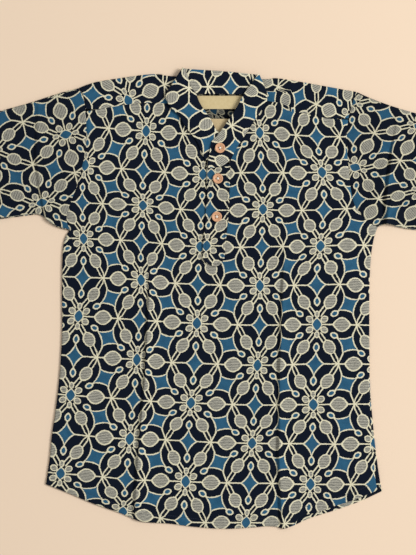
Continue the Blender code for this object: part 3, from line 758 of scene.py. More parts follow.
class Nodes:
    """A node tree that nodes are added to."""

    def __init__(self, tree: bpy.types.NodeTree) -> None:
        """Start with an empty tree."""
        self.tree = tree
        tree.nodes.clear()

    def add(self, kind: str, *inputs: object, **settings: object) -> bpy.types.Node:
        """Add a node with its settings and links.

        Args:
            kind: the node's type, without its ShaderNode start.
            inputs: a node, socket or value for each of its inputs in order, or None.
            settings: its own properties, and other inputs by name with _ for each space.

        Returns:
            The node. As an input to another one it stands for its first output.
        """
        start = "" if kind.startswith("NodeGroup") else "ShaderNode"
        node = self.tree.nodes.new(start + kind)
        pairs = [(node.inputs[i], value) for i, value in enumerate(inputs) if i < len(node.inputs)]
        for key, value in settings.items():
            if hasattr(node, key):
                setattr(node, key, value)
                pairs = [(node.inputs[i], v) for i, v in enumerate(inputs)]
            else:
                pairs.append((node.inputs[key.replace("_", " ")], value))
        for socket, value in pairs:
            if isinstance(value, bpy.types.Node):
                self.tree.links.new(value.outputs[0], socket)
            elif isinstance(value, bpy.types.NodeSocket):
                self.tree.links.new(value, socket)
            elif value is not None:
                socket.default_value = value
        return node


def new_material(name: str) -> tuple[bpy.types.Material, Nodes]:
    """A new material and its nodes, none of them there yet.

    Args:
        name: the material's name.

    Returns:
        The material and its nodes.
    """
    material = bpy.data.materials.new(name)
    material.use_nodes = True
    return material, Nodes(material.node_tree)


def new_group(name: str, inputs: list[tuple[str, str]], outputs: list[str]) -> tuple[Nodes, list]:
    """Start a node group.

    Args:
        name: its name.
        inputs: name and kind, Vector or Float, of each input.
        outputs: the name of each output, all of them numbers.

    Returns:
        The group's nodes and its input sockets.
    """
    tree = bpy.data.node_groups.new(name, "ShaderNodeTree")
    for title, kind in inputs:
        tree.interface.new_socket(title, in_out="INPUT", socket_type="NodeSocket" + kind)
    for title in outputs:
        tree.interface.new_socket(title, in_out="OUTPUT", socket_type="NodeSocketFloat")
    nodes = Nodes(tree)
    return nodes, list(nodes.add("NodeGroupInput").outputs)[: len(inputs)]


@dataclass(frozen=True)
class BlockPrint:
    """The print as drawn on the cloth, in units of 1.14 mm: one repeat is 122 by 80 of them.

    The repeat is 139 mm by 91 mm on the cloth. Sizes are those of the printed
    shapes: every shape is laid first in cream and then, smaller, in its colour.
    """

    repeat: tuple[float, float] = (122.0, 80.0)
    line: float = 0.66
    rails: float = 1.9
    spoke: tuple[float, float] = (0.478, 0.878)
    # Centre x, y, axis x, y, then half size, power and border, each along and across
    grey_shapes: tuple[tuple[float, ...], ...] = (
        (24.1, 0.0, 1.0, 0.0, 9.3, 7.4, 2.1, 1.1, 1.8, 1.2),
        (12.5, 22.9, 0.478, 0.878, 8.3, 5.8, 2.3, 1.3, 1.4, 1.2),
        (7.0, 5.3, 0.81, 0.586, 3.9, 3.3, 2.0, 1.8, 1.1, 1.0),
        (0.0, 10.3, 0.0, 1.0, 3.5, 2.4, 2.4, 2.2, 1.1, 1.0),
    )
    blue_shapes: tuple[tuple[float, ...], ...] = (
        (0.0, 0.0, 1.0, 0.0, 5.2, 6.9, 1.4, 1.4, 1.1, 1.1),
        (61.0, 0.0, 1.0, 0.0, 9.9, 13.6, 0.74, 0.74, 2.2, 2.8),
        (0.0, 40.0, 1.0, 0.0, 9.9, 13.6, 0.74, 0.74, 2.2, 2.8),
        (30.5, 20.0, 0.87, 0.49, 13.6, 11.6, 0.72, 0.72, 2.6, 2.2),
        (0.0, 23.2, 0.0, 1.0, 4.9, 3.2, 1.7, 1.5, 1.8, 1.35),
        (16.8, 11.0, 0.87, 0.49, 4.2, 3.1, 1.9, 1.8, 1.5, 1.3),
    )
    # From x, y to x, y
    lines: tuple[tuple[float, float, float, float], ...] = (
        (5.0, 0.0, 53.4, 0.0), (39.3, 0.0, 35.0, 10.5), (21.0, 14.0, 17.4, 11.3),
        (0.0, 27.0, 0.0, 30.0), (1.5, 11.4, 6.4, 18.4), (3.9, 8.4, 9.2, 16.2),
    )
    # Origin of each spoke, and where it starts and ends
    spokes: tuple[tuple[tuple[float, float, float], float, float], ...] = (
        ((0, 0, 0), 28.0, 34.2), ((39.3, 0, 0), -0.2, 12.0),
    )

    def stroke_group(self) -> bpy.types.NodeTree:
        """A node group that draws a straight stroke between two points.

        Returns:
            The group, with one output, Ink.
        """
        n, (place, start, end) = new_group(
            "printed stroke", [("Place", "Vector"), ("Start", "Vector"), ("End", "Vector")], ["Ink"]
        )
        reach = n.add("VectorMath", place, start, operation="SUBTRACT")
        run = n.add("VectorMath", end, start, operation="SUBTRACT")
        along = n.add("VectorMath", reach, run, operation="DOT_PRODUCT").outputs["Value"]
        size = n.add("VectorMath", run, run, operation="DOT_PRODUCT").outputs["Value"]
        share = n.add("Math", along, size, operation="DIVIDE", use_clamp=True)
        foot = n.add("VectorMath", run, operation="SCALE", Scale=share)
        away = n.add("VectorMath", reach, foot, operation="SUBTRACT")
        gap = n.add("VectorMath", away, operation="LENGTH").outputs["Value"]
        ink = n.add("Math", gap, self.line, operation="LESS_THAN")
        n.add("NodeGroupOutput", ink)
        return n.tree

    def rails_group(self) -> bpy.types.NodeTree:
        """A node group that draws a spoke of two lines, closing to a point at its start.

        Returns:
            The group, with one output, Ink.
        """
        n, (place, origin, start, end) = new_group(
            "printed spoke",
            [("Place", "Vector"), ("Origin", "Vector"), ("Start", "Float"), ("End", "Float")],
            ["Ink"],
        )
        dx, dy = self.spoke
        reach = n.add("VectorMath", place, origin, operation="SUBTRACT")
        along = n.add("VectorMath", reach, (dx, dy, 0), operation="DOT_PRODUCT").outputs["Value"]
        across = n.add("VectorMath", reach, (dy, -dx, 0), operation="DOT_PRODUCT").outputs["Value"]
        side = n.add("Math", across, operation="ABSOLUTE")
        opening = n.add("Math", along, 0.35, 0.3, operation="MULTIPLY_ADD")
        gap = n.add("Math", opening, self.rails, operation="MINIMUM")
        off = n.add("Math", side, gap, operation="SUBTRACT")
        far = n.add("Math", off, operation="ABSOLUTE")
        near = n.add("Math", far, self.line - 0.05, operation="LESS_THAN")
        begun = n.add("Math", along, start, operation="GREATER_THAN")
        unended = n.add("Math", along, end, operation="LESS_THAN")
        both = n.add("Math", begun, unended, operation="MULTIPLY")
        n.add("NodeGroupOutput", n.add("Math", near, both, operation="MULTIPLY"))
        return n.tree

    def shape_group(self) -> bpy.types.NodeTree:
        """A node group that draws a rounded, pointed or star-like shape and its smaller inside.

        Returns:
            The group, with the outputs Outer and Inner.
        """
        titles = [("Place", "Vector"), ("Centre", "Vector"), ("Axis", "Vector"), ("Half", "Vector")]
        titles += [("Power", "Vector"), ("Border", "Vector")]
        n, sockets = new_group("printed shape", titles, ["Outer", "Inner"])
        place, centre, axis, half, power, border = sockets
        reach = n.add("VectorMath", place, centre, operation="SUBTRACT")
        turned = n.add("VectorMath", axis, (0, 0, 1), operation="CROSS_PRODUCT")
        along = n.add("VectorMath", reach, axis, operation="DOT_PRODUCT").outputs["Value"]
        across = n.add("VectorMath", reach, turned, operation="DOT_PRODUCT").outputs["Value"]
        powers = n.add("SeparateXYZ", power)
        inside = n.add("VectorMath", half, border, operation="SUBTRACT")
        found = []
        for size in (half, inside):
            parts = n.add("SeparateXYZ", size)
            terms = []
            for value, i in ((along, 0), (across, 1)):
                far = n.add("Math", value, operation="ABSOLUTE")
                share = n.add("Math", far, parts.outputs[i], operation="DIVIDE")
                terms.append(n.add("Math", share, powers.outputs[i], operation="POWER"))
            total = n.add("Math", *terms, operation="ADD")
            found.append(n.add("Math", total, 1.0, operation="LESS_THAN"))
        n.add("NodeGroupOutput", *found)
        return n.tree

    def draw(self, n: Nodes, place: bpy.types.NodeSocket) -> tuple[object, object, object]:
        """Draw the print at a place in print units.

        Args:
            n: the material's nodes.
            place: where on the print each point of the cloth lies.

        Returns:
            Where the cream, the grey and the blue lie, each as a number from 0 to 1.
        """
        wide, high = self.repeat
        parts = n.add("SeparateXYZ", place)
        folded = []
        for value, repeat in ((parts.outputs[0], wide), (parts.outputs[1], high)):
            moved = n.add("Math", value, repeat / 2, operation="ADD")
            rest = n.add("Math", moved, repeat, operation="FLOORED_MODULO")
            centred = n.add("Math", rest, repeat / 2, operation="SUBTRACT")
            folded.append(n.add("Math", centred, operation="ABSOLUTE"))
        u, v = folded
        slant = n.add("Math", v, wide / high, u, operation="MULTIPLY_ADD")
        beyond = n.add("Math", slant, wide / 2, operation="GREATER_THAN")
        near = n.add("CombineXYZ", u, v)
        other = n.add("VectorMath", (wide / 2, high / 2, 0), near, operation="SUBTRACT")
        spot = n.add("Mix", beyond, data_type="VECTOR", clamp_factor=True)
        n.tree.links.new(near.outputs[0], spot.inputs[4])
        n.tree.links.new(other.outputs[0], spot.inputs[5])
        here = spot.outputs[1]
        stroke, rails, shape = self.stroke_group(), self.rails_group(), self.shape_group()
        cream = None
        marks = [
            n.add("Group", node_tree=stroke, Place=here, Start=(ax, ay, 0), End=(bx, by, 0))
            for ax, ay, bx, by in self.lines
        ]
        for origin, start, end in self.spokes:
            marks.append(
                n.add("Group", node_tree=rails, Place=here, Origin=origin, Start=start, End=end)
            )
        fills = []
        for shapes in (self.grey_shapes, self.blue_shapes):
            fill = None
            for cx, cy, ax, ay, long, short, p, q, b, c in shapes:
                drawn = n.add(
                    "Group", node_tree=shape, Place=here, Centre=(cx, cy, 0), Axis=(ax, ay, 0),
                    Half=(long, short, 1), Power=(p, q, 1), Border=(b, c, 0),
                )
                marks.append(drawn)
                inner = drawn.outputs["Inner"]
                fill = inner if fill is None else n.add("Math", fill, inner, operation="MAXIMUM")
            fills.append(fill)
        for mark in marks:
            cream = mark if cream is None else n.add("Math", cream, mark, operation="MAXIMUM")
        return cream, *fills


@dataclass(frozen=True)
class PrintedCotton:
    """Plain-woven cotton, block printed: matte, with a faint fuzz and slightly ragged ink."""

    name: str = "printed plain-woven cotton"
    navy: str = "#0e1522"
    cream: str = "#dad3b5"
    grey_light: str = "#b9b5a5"
    grey_dark: str = "#525350"
    blue_light: str = "#346582"
    blue_dark: str = "#204660"
    # How bright the print is drawn: copies below 1 paint shade into it and the one above 1 paints
    # light
    strength: float = 1.0
    # Thread spacing of the weave in mm: the real 0.3 mm is drawn at 0.9 mm, to show close up
    weave: float = 0.9
    # Line spacing of the grey's hatching and how far the ink strays, in print units
    hatch: float = 1.6
    raggedness: float = 1.25

    def build(self) -> bpy.types.Material:
        """The material, which follows the print's places on each piece.

        Returns:
            The finished material.
        """
        material, n = new_material(self.name)
        uv = n.add("UVMap")
        units = n.add("VectorMath", uv, operation="SCALE", Scale=1 / PRINT_UNIT)
        ragged = n.add("TexNoise", units, Scale=0.8, Detail=2.0)
        shift = n.add("VectorMath", ragged.outputs["Color"], (0.5, 0.5, 0.5), operation="SUBTRACT")
        moved = n.add("VectorMath", shift, operation="SCALE", Scale=self.raggedness)
        place = n.add("VectorMath", moved, units, operation="ADD")
        cream, grey, blue = BlockPrint().draw(n, place.outputs[0])
        parts = n.add("SeparateXYZ", place)
        wave = n.add("Math", parts.outputs[1], math.tau / self.hatch, operation="MULTIPLY")
        sine = n.add("Math", wave, operation="SINE")
        lines = n.add("Math", sine, 0.5, 0.5, operation="MULTIPLY_ADD")
        hatched = n.add("MixRGB", lines, linear(self.grey_dark), linear(self.grey_light))
        colour = n.add("MixRGB", cream, linear(self.navy), linear(self.cream))
        colour = n.add("MixRGB", grey, colour, hatched)
        uneven = n.add("TexNoise", units, Scale=0.12, Detail=3.0)
        blues = n.add("MixRGB", uneven, linear(self.blue_dark), linear(self.blue_light))
        colour = n.add("MixRGB", blue, colour, blues)
        slubs = n.add("TexNoise", units, Scale=1.3, Detail=4.0)
        # The random slub tone, scaled down or up by the strength as painted shade or painted light
        most, least = 1.1 * self.strength, 0.45 * self.strength
        level = n.add("Math", slubs, most, least, operation="MULTIPLY_ADD")
        colour = n.add("MixRGB", 1.0, colour, level, blend_type="MULTIPLY")
        threads = n.add("SeparateXYZ", uv)
        turns = [
            n.add("Math", way, math.tau / self.weave, operation="MULTIPLY")
            for way in threads.outputs[:2]
        ]
        waves = [n.add("Math", turn, operation="SINE") for turn in turns]
        height = n.add("Math", *waves, operation="MULTIPLY")
        bump = n.add("Bump", Strength=0.35, Distance=0.00012, Height=height)
        surface = n.add(
            "BsdfPrincipled", colour, Roughness=0.92, IOR=1.45, Sheen_Weight=0.02,
            Sheen_Roughness=0.5, Specular_IOR_Level=0.08, Normal=bump,
        )
        n.add("OutputMaterial", surface)
        return material


@dataclass(frozen=True)
class Ribbon:
    """Woven tape: fine ribs across it and a soft sheen."""

    name: str
    light: str
    dark: str
    sheen: float
    # Rib spacing in mm
    rib: float = 0.8

    def build(self) -> bpy.types.Material:
        """The material, ribbed along the piece's own map in millimetres.

        Returns:
            The finished material.
        """
        material, n = new_material(self.name)
        uv = n.add("UVMap")
        parts = n.add("SeparateXYZ", uv)
        turns = n.add("Math", parts.outputs[1], math.tau / self.rib, operation="MULTIPLY")
        sine = n.add("Math", turns, operation="SINE")
        ribs = n.add("Math", sine, 0.5, 0.5, operation="MULTIPLY_ADD")
        cloud = n.add("TexNoise", uv, Scale=0.35, Detail=3.0)
        share = n.add("Math", ribs, 0.25, cloud, operation="MULTIPLY_ADD")
        colour = n.add("MixRGB", share, linear(self.dark), linear(self.light))
        bump = n.add("Bump", Strength=0.3, Distance=0.0001, Height=ribs)
        surface = n.add(
            "BsdfPrincipled", colour, Roughness=0.7, IOR=1.5, Sheen_Weight=self.sheen, Normal=bump
        )
        n.add("OutputMaterial", surface)
        return material


@dataclass(frozen=True)
class CoconutShell:
    """Turned coconut shell: light peach-tan, with a fine grain across and a satin polish."""

    name: str = "turned coconut shell"
    light: str = "#e7b78e"
    dark: str = "#bd8159"

    def build(self) -> bpy.types.Material:
        """The material, its grain running across the whole garment's frame.

        Returns:
            The finished material.
        """
        material, n = new_material(self.name)
        place = n.add("TexCoord").outputs["Object"]
        turned = n.add("Mapping", place, Rotation=(0, 0, 0.5), Scale=(400, 2600, 400))
        grain = n.add("TexNoise", turned, Scale=1.0, Detail=4.0)
        colour = n.add("MixRGB", grain, linear(self.dark), linear(self.light))
        surface = n.add("BsdfPrincipled", colour, Roughness=0.42, IOR=1.5)
        n.add("OutputMaterial", surface)
        return material


@dataclass(frozen=True)
class Thread:
    """Spun cotton sewing thread: plain and matte."""

    name: str
    colour: str

    def build(self) -> bpy.types.Material:
        """The material, of one colour.

        Returns:
            The finished material.
        """
        material, n = new_material(self.name)
        surface = n.add("BsdfPrincipled", linear(self.colour), Roughness=0.8, IOR=1.45)
        n.add("OutputMaterial", surface)
        return material


@dataclass(frozen=True)
class Finishes:
    """Every material, built once."""

    cotton: bpy.types.Material
    # Copy of the print darkened as painted shade, for the yoke's inside seen through the neck
    inside: bpy.types.Material
    # Copy of the print darkened as painted shade, for the sleeves
    duller: bpy.types.Material
    # Copy of the print brightened as painted light, for the collar band
    brighter: bpy.types.Material
    woven: bpy.types.Material
    tape: bpy.types.Material
    coconut: bpy.types.Material
    cream_thread: bpy.types.Material
    navy_thread: bpy.types.Material

    @classmethod
    def build(cls) -> "Finishes":
        """Build the materials of the kurta.

        Returns:
            All of them.
        """
        return cls(
            cotton=PrintedCotton().build(),
            # Painted shade: the yoke's inside is drawn at 0.3 of the print's brightness for the
            # shade inside the neck
            inside=PrintedCotton(name="printed cotton, wrong side in painted shade", strength=0.3).build(),
            # Painted shade: the sleeves are drawn at 0.87 of the print's brightness, as they lie in
            # shade
            duller=PrintedCotton(name="printed cotton, duller length", strength=0.87).build(),
            # Painted light: the collar band is drawn at 1.1 of the print's brightness
            brighter=PrintedCotton(name="printed cotton, band in painted light", strength=1.1).build(),
            woven=Ribbon("woven gold tape", "#d6c394", "#c2ac7a", 0.05).build(),
            tape=Ribbon("plain beige tape", "#ccb68a", "#b49c72", 0.02).build(),
            coconut=CoconutShell().build(),
            cream_thread=Thread("cream cotton thread", "#f5f0e2").build(),
            navy_thread=Thread("navy cotton thread", "#2a3040").build(),
        )


# Pieces


@dataclass
class Body:
    """The front and the back, from the hem to the yoke seams."""

    finishes: Finishes
    prints: FrontPrint
    columns: int = 170
    rows: int = 150
    round_off: float = 2.2
    middle: float = 1.45
    # The front's right side lies this much higher where the back rolls past it
    rolled_lift: float = 0.95
    # The hem: its height, its quick and its slow rise, and its turning with the stitched dip
    hem_height: float = 2.0
    hem_edge: float = 1.2
    hem_slope: float = 14.0
    hem_turning: float = 9.5
    seam_dip: float = 0.7
    seam_width: float = 1.5
    # Where the back's print lies against the front's: set so that navy falls on the back's hem
    # where it shows below the front, painting the front's shade there
    back_shift: tuple[float, float] = (14.0, 11.0)
    front_cut: Cut = Cut(0.380, 0.487, 0.157, ("back_panel",))
    back_cut: Cut = Cut(0.385, 0.421, 0.143)

    def front_patch(self) -> Patch:
        """The front's four edges: hem, yoke seams with the neck between, and both sides.

        Returns:
            The area between those edges.
        """
        left = chain(spline(SIDE_LEFT[::-1]), spline(ARMHOLE_LEFT[2:][::-1]))
        upper_side = [row for row in SIDE_RIGHT if row[1] > -90]
        right = chain(
            spline(FRONT_SIDE_RIGHT[::-1]),
            spline([(176.8, -95), *upper_side[::-1]]),
            spline(ARMHOLE_RIGHT[2:][::-1]),
        )
        above = chain(
            spline(YOKE_SEAM_LEFT[::-1]), spline(NECK_LEFT), spline(NECK_RIGHT[::-1]),
            spline(YOKE_SEAM_RIGHT),
        )
        return Patch(Curve(FRONT_HEM, Along.X), Curve(above, Along.X), Curve(left), Curve(right))

    def front_points(self, plan: np.ndarray) -> np.ndarray:
        """The front's outer surface over flat points, rounded at its closed edges.

        Args:
            plan: x and y of each point, in mm.

        Returns:
            x, y and z of each point.
        """
        top = RELIEF.top(plan)
        rolled = smooth_step(-100, -140, plan[:, 1])
        side_l = distance_to(plan, SIDE_L)
        side_r = distance_to(plan, chain(FRONT_SIDE_R[::-1], SIDE_R[SIDE_R[:, 1] > -95][::-1]))
        low_r = self.middle + self.rolled_lift * rolled
        z = self.middle + (top - self.middle) * rounded(side_l, self.round_off)
        z = np.minimum(z, low_r + (top - low_r) * rounded(side_r, self.round_off))
        hem = distance_to(plan, FRONT_HEM)
        rise = 0.35 * rounded(hem, self.hem_edge) + 0.65 * rounded(hem, self.hem_slope)
        z = np.minimum(z, self.hem_height + (top - self.hem_height) * rise)
        z -= 0.35 * hump(hem - self.hem_turning, 1.3)
        for seam in SEAMS:
            z -= self.seam_dip * hump(distance_to(plan, seam), self.seam_width)
        return np.column_stack([plan, z])

    def front(self) -> None:
        """Build the front panel, its columns closer together at the press creases."""
        obj, u, v = add_grid("front_cloth", self.columns, self.rows)
        u = crowded(u, [*EDGE_CROWD, (0.282, 0.02, 2.6), (0.714, 0.02, 2.6)])
        plan = self.front_patch().places(u, crowded(v, EDGE_CROWD))
        lay(obj, self.front_points(plan), self.prints.places(plan))
        thicken(obj, CLOTH)
        finish_sheet(obj, [self.finishes.cotton], "front_panel")

    def back_patch(self) -> Patch:
        """The back's four edges: hem, back yoke seam and both sides.

        Returns:
            The area between those edges.
        """
        below = chain(spline([(x, y + 1.5) for x, y in HEM_LEFT])[:-1], spline(HEM_RIGHT))
        below[0] = SIDE_L[-1]
        sides, corners = [], []
        for side, armhole in ((SIDE_L, ARM_LEFT), (SIDE_R, ARM_RIGHT)):
            corner = np.array([(float(x_on(armhole, BACK_SEAM_Y)), BACK_SEAM_Y)])
            lower = armhole[armhole[:, 1] < BACK_SEAM_Y][::-1]
            sides.append(Curve(chain(side[::-1], lower, corner)))
            corners.append(corner[0])
        return Patch(Curve(below, Along.X), Curve(np.array(corners), Along.X), *sides)

    def back(self) -> None:
        """Build the back panel, its outside down on the floor."""
        obj, u, v = add_grid("back_cloth", 90, 80)
        plan = self.back_patch().places(crowded(u, EDGE_CROWD), crowded(v, EDGE_CROWD))
        sides = np.minimum(distance_to(plan, SIDE_L), distance_to(plan, SIDE_R))
        waves = 0.5 + 0.5 * np.sin(plan[:, 0] / 19) * np.sin(plan[:, 1] / 27)
        z = self.middle * (1 - rounded(sides, self.round_off))
        z += 0.3 * smooth_step(4, 30, sides) * waves
        printed = self.prints.places(plan * np.array([-1, 1])) + np.array(self.back_shift)
        lay(obj, np.column_stack([plan, z]), printed, face_down=True)
        thicken(obj, CLOTH)
        finish_sheet(obj, [self.finishes.cotton], "back_panel")

    def side_turn(self) -> None:
        """The back's side at the lower right, rolled round past the front's edge."""
        obj, u, v = add_grid("back_side_turn", 18, 60)
        low, high = -212, -101
        y = low + v * (high - low)
        outer, inner = x_on(SIDE_R, y), x_on(FRONT_SIDE_R, y)
        show = np.maximum(outer - inner, 0.2)
        radius = np.minimum(1.2, 0.6 + show / 4)
        turn = np.clip(u / 0.5, 0, 1) * math.pi - math.pi / 2
        flat = np.clip((u - 0.5) / 0.5, 0, 1)
        x = outer - radius + radius * np.cos(turn) - flat * (show + 2.5 - radius)
        z = 0.05 + radius * (1 + np.sin(turn)) - 0.35 * flat
        printed = self.prints.places(np.column_stack([2 * outer - x, y]))
        lay(obj, np.column_stack([x, y, z]), printed, face_down=True)
        thicken(obj, 0.4)
        smooth(obj)
        dress(obj, [self.finishes.cotton])

    def build(self) -> None:
        """Build the front, the back and the back's rolled side."""
        self.front()
        self.back()
        self.side_turn()


@dataclass
class Yoke:
    """One cloth from the front seams over the shoulders to the back seam."""

    finishes: Finishes
    wall: float = 1.0
    seam_dip: float = 0.55
    seam_width: float = 1.3
    left_end: float = -155.0
    span: float = 316.3
    # Shares of the rows that lie behind the shoulder fold and up to its front
    behind: float = 0.3
    folded: float = 0.42
    # Where the two runs of the print part, hidden by the collar
    middle: float = 5.0
    # What a tuck by the collar takes up of the print, and how the hidden back's print lies
    tuck: tuple[float, float] = (-8.2, -6.1)
    hidden_shift: tuple[float, float] = (37.6, -29.4)
    cut: Cut = Cut(0.316, 0.139, 0.0364, ("back_panel",), Held.FOLDED)
    left: FlatPrint = FlatPrint((-98.0, 225.1), (0.914, 0.407), (0.407, -0.914))
    right: FlatPrint = FlatPrint((152.2, 204.1), (0.801, -0.371), (-0.42, -0.907))

    def printed(self, plan: np.ndarray) -> np.ndarray:
        """Print places: the two shoulders each have their own run of the cloth.

        Args:
            plan: x and y of each point, the back's laid out beyond the fold.

        Returns:
            Each point's place on the print.
        """
        x = plan[:, 0]
        past = smooth_step(86.2, 88.2, x)
        tucked = (1 - past) * smooth_step(238.5, 234, plan[:, 1])
        run = self.right.places(plan + tucked[:, None] * np.array(self.tuck))
        run[:, 0] += 5.5 * (1 - past)
        return np.where((x > self.middle)[:, None], run, self.left.places(plan))

    def points(self, x: np.ndarray, way: np.ndarray) -> tuple[np.ndarray, np.ndarray]:
        """Outer surface and flat print places at distances from the shoulder fold.

        Args:
            x: each point's place across.
            way: its distance from the fold along the cloth, + on top and - beneath.

        Returns:
            x, y, z of each point, and its place on the cloth as if the back lay beyond the fold.
        """
        fold_y = y_on(SHOULDER, x) - FOLD_RADIUS
        turn = np.clip(way / FOLD_ARC, -1, 1) * math.pi / 2
        beyond = np.maximum(np.abs(way) - FOLD_ARC, 0)
        y = fold_y + FOLD_RADIUS * np.cos(turn) - beyond
        plan = np.column_stack([x, y])
        fade = np.clip(beyond / WALL, 0, 1)
        top = LAYER + (RELIEF.rest(plan) - LAYER) * fade + WALL
        z = FOLD_RADIUS * (1 + np.sin(turn))
        z = np.where(way > FOLD_ARC, top, z)
        z = np.where(way < -FOLD_ARC, (WALL - self.wall) * smooth_step(0, 12, beyond), z)
        upper = way > FOLD_ARC
        for seam in SEAMS:
            z -= np.where(upper, self.seam_dip * hump(distance_to(plan, seam), self.seam_width), 0)
        spread = np.column_stack([x, np.where(way > 0, y, 2 * fold_y + 2 * FOLD_RADIUS - y)])
        return np.column_stack([x, y, z]), spread

    def build(self) -> None:
        """Build the yoke."""
        obj, u, v = add_grid("yoke_cloth", 150, 84)
        by_collar = [(0.322, 0.01, 5.0), (0.678, 0.01, 5.0), (0.768, 0.012, 3.0)]
        u = crowded(u, EDGE_CROWD + by_collar)
        x = self.left_end + self.span * u
        edges = (YOKE_SEAM_LEFT[::-1], NECK_BACK, YOKE_SEAM_RIGHT)
        ends = chain(*(spline(rows, 2) for rows in edges))
        fold_y = y_on(SHOULDER, x) - FOLD_RADIUS
        depth = np.maximum(fold_y - y_on(ends, x) + FOLD_ARC, FOLD_ARC)
        back_depth = fold_y - BACK_SEAM_Y + FOLD_ARC
        behind = -back_depth + (back_depth - FOLD_ARC) * v / self.behind
        folding = -FOLD_ARC + 2 * FOLD_ARC * (v - self.behind) / (self.folded - self.behind)
        front = FOLD_ARC + (depth - FOLD_ARC) * (v - self.folded) / (1 - self.folded)
        way = np.where(v < self.behind, behind, np.where(v < self.folded, folding, front))
        y = fold_y - np.maximum(np.abs(way) - FOLD_ARC, 0)
        low, high = x_on(ARM_LEFT, y), x_on(ARM_RIGHT, y)
        places, spread = self.points(low + (high - low) * u, way)
        spread += np.where((way < -FOLD_ARC)[:, None], np.array(self.hidden_shift), 0.0)
        lay(obj, places, self.printed(spread), face_down=True)
        # The inner faces take the copy darkened as painted shade for the inside of the neck
        both_sides = [self.finishes.cotton, self.finishes.inside]
        for material in both_sides:
            obj.data.materials.append(material)
        thicken(obj, self.wall, wrong_side=1)
        finish_sheet(obj, both_sides, "yoke")


@dataclass
class Sleeve:
    """A flat tube from the armhole seam to the cuff, folded along its top."""

    finishes: Finishes
    name: str
    armhole: np.ndarray
    over: np.ndarray
    under: np.ndarray
    side: int
    run: FlatPrint
    cut: Cut
    top_columns: int = 110
    fold_columns: int = 8
    bottom_columns: int = 26
    rows: int = 120
    seam_dip: float = 0.65
    seam_width: float = 1.5
    cuff_turning: float = 12.0

    def ring(self, share: np.ndarray) -> tuple[np.ndarray, np.ndarray, np.ndarray]:
        """Places round the flattened tube.

        Args:
            share: shares round the ring, beginning at its top edge on the upper layer.

        Returns:
            For each: its share across the flat sleeve, its sweep round a fold, and its layer,
            1 on top, -1 below and 0 on a fold.
        """
        counts = [self.top_columns, self.fold_columns, self.bottom_columns, self.fold_columns]
        ends = np.concatenate([[0], np.cumsum(counts)]) / sum(counts)
        across = np.interp(share, ends, [0, 1, 1, 0, 0])
        even = (1 - np.cos(across * math.pi)) / 2
        across = across + (even - across) * 0.55
        sweep = np.interp(share, ends, [90, 90, -90, -90, -270])
        layer = np.where(share <= ends[1] + 1e-9, 1, np.where(share < ends[2] - 1e-9, 0, -1))
        layer = np.where(share > ends[3] + 1e-9, 0, layer)
        return across, np.radians(sweep), layer

    def build(self) -> None:
        """Build the sleeve."""
        columns = self.top_columns + 2 * self.fold_columns + self.bottom_columns
        obj, around, along = add_grid(f"{self.name}_cloth", columns, self.rows)
        along = crowded(along, EDGE_CROWD)
        step = np.gradient(self.armhole, axis=0)
        normal = np.column_stack([-step[:, 1], step[:, 0]]) / np.hypot(*step.T)[:, None]
        seam = self.armhole + normal * self.side * 0.1
        over, under = self.over.copy(), self.under.copy()
        over[0], under[0] = seam[0], seam[-1]
        cuff = np.array([over[-1], under[-1]])
        patch = Patch(Curve(seam), Curve(cuff), Curve(over), Curve(under))
        across, sweep, layer = self.ring(around)
        width = np.hypot(*(Curve(over).at(along) - Curve(under).at(along)).T)
        start = FOLD_RADIUS / width
        centre = start + (1 - 2 * start) * across
        flat = patch.places(centre, along)
        shift = np.where(layer == 0, start * np.cos(sweep), 0)
        plan = patch.places(centre + shift, along)
        top = RELIEF.top(flat)
        z = np.where(layer == 1, top, np.where(layer == -1, 0.0, top / 2 * (1 + np.sin(sweep))))
        cuff_gap = distance_to(plan, cuff)
        dips = self.seam_dip * hump(distance_to(plan, seam), self.seam_width)
        dips += 0.3 * hump(cuff_gap - self.cuff_turning, 1.2) + 0.5 * hump(cuff_gap, 1.5)
        z = np.where(layer == 1, z - dips, z)
        top_edge = Curve(over).at(along)
        beneath = (layer < 0) | ((layer == 0) & (around > 0.7))
        spread = np.where(beneath[:, None], 2 * top_edge - plan, plan)
        points = np.column_stack([plan, z])
        lay(obj, points, self.run.places(spread), face_down=self.side < 0)
        close_tube(obj)
        thicken(obj, CLOTH)
        # The sleeves take the print darkened as painted shade
        finish_sheet(obj, [self.finishes.duller], self.name)


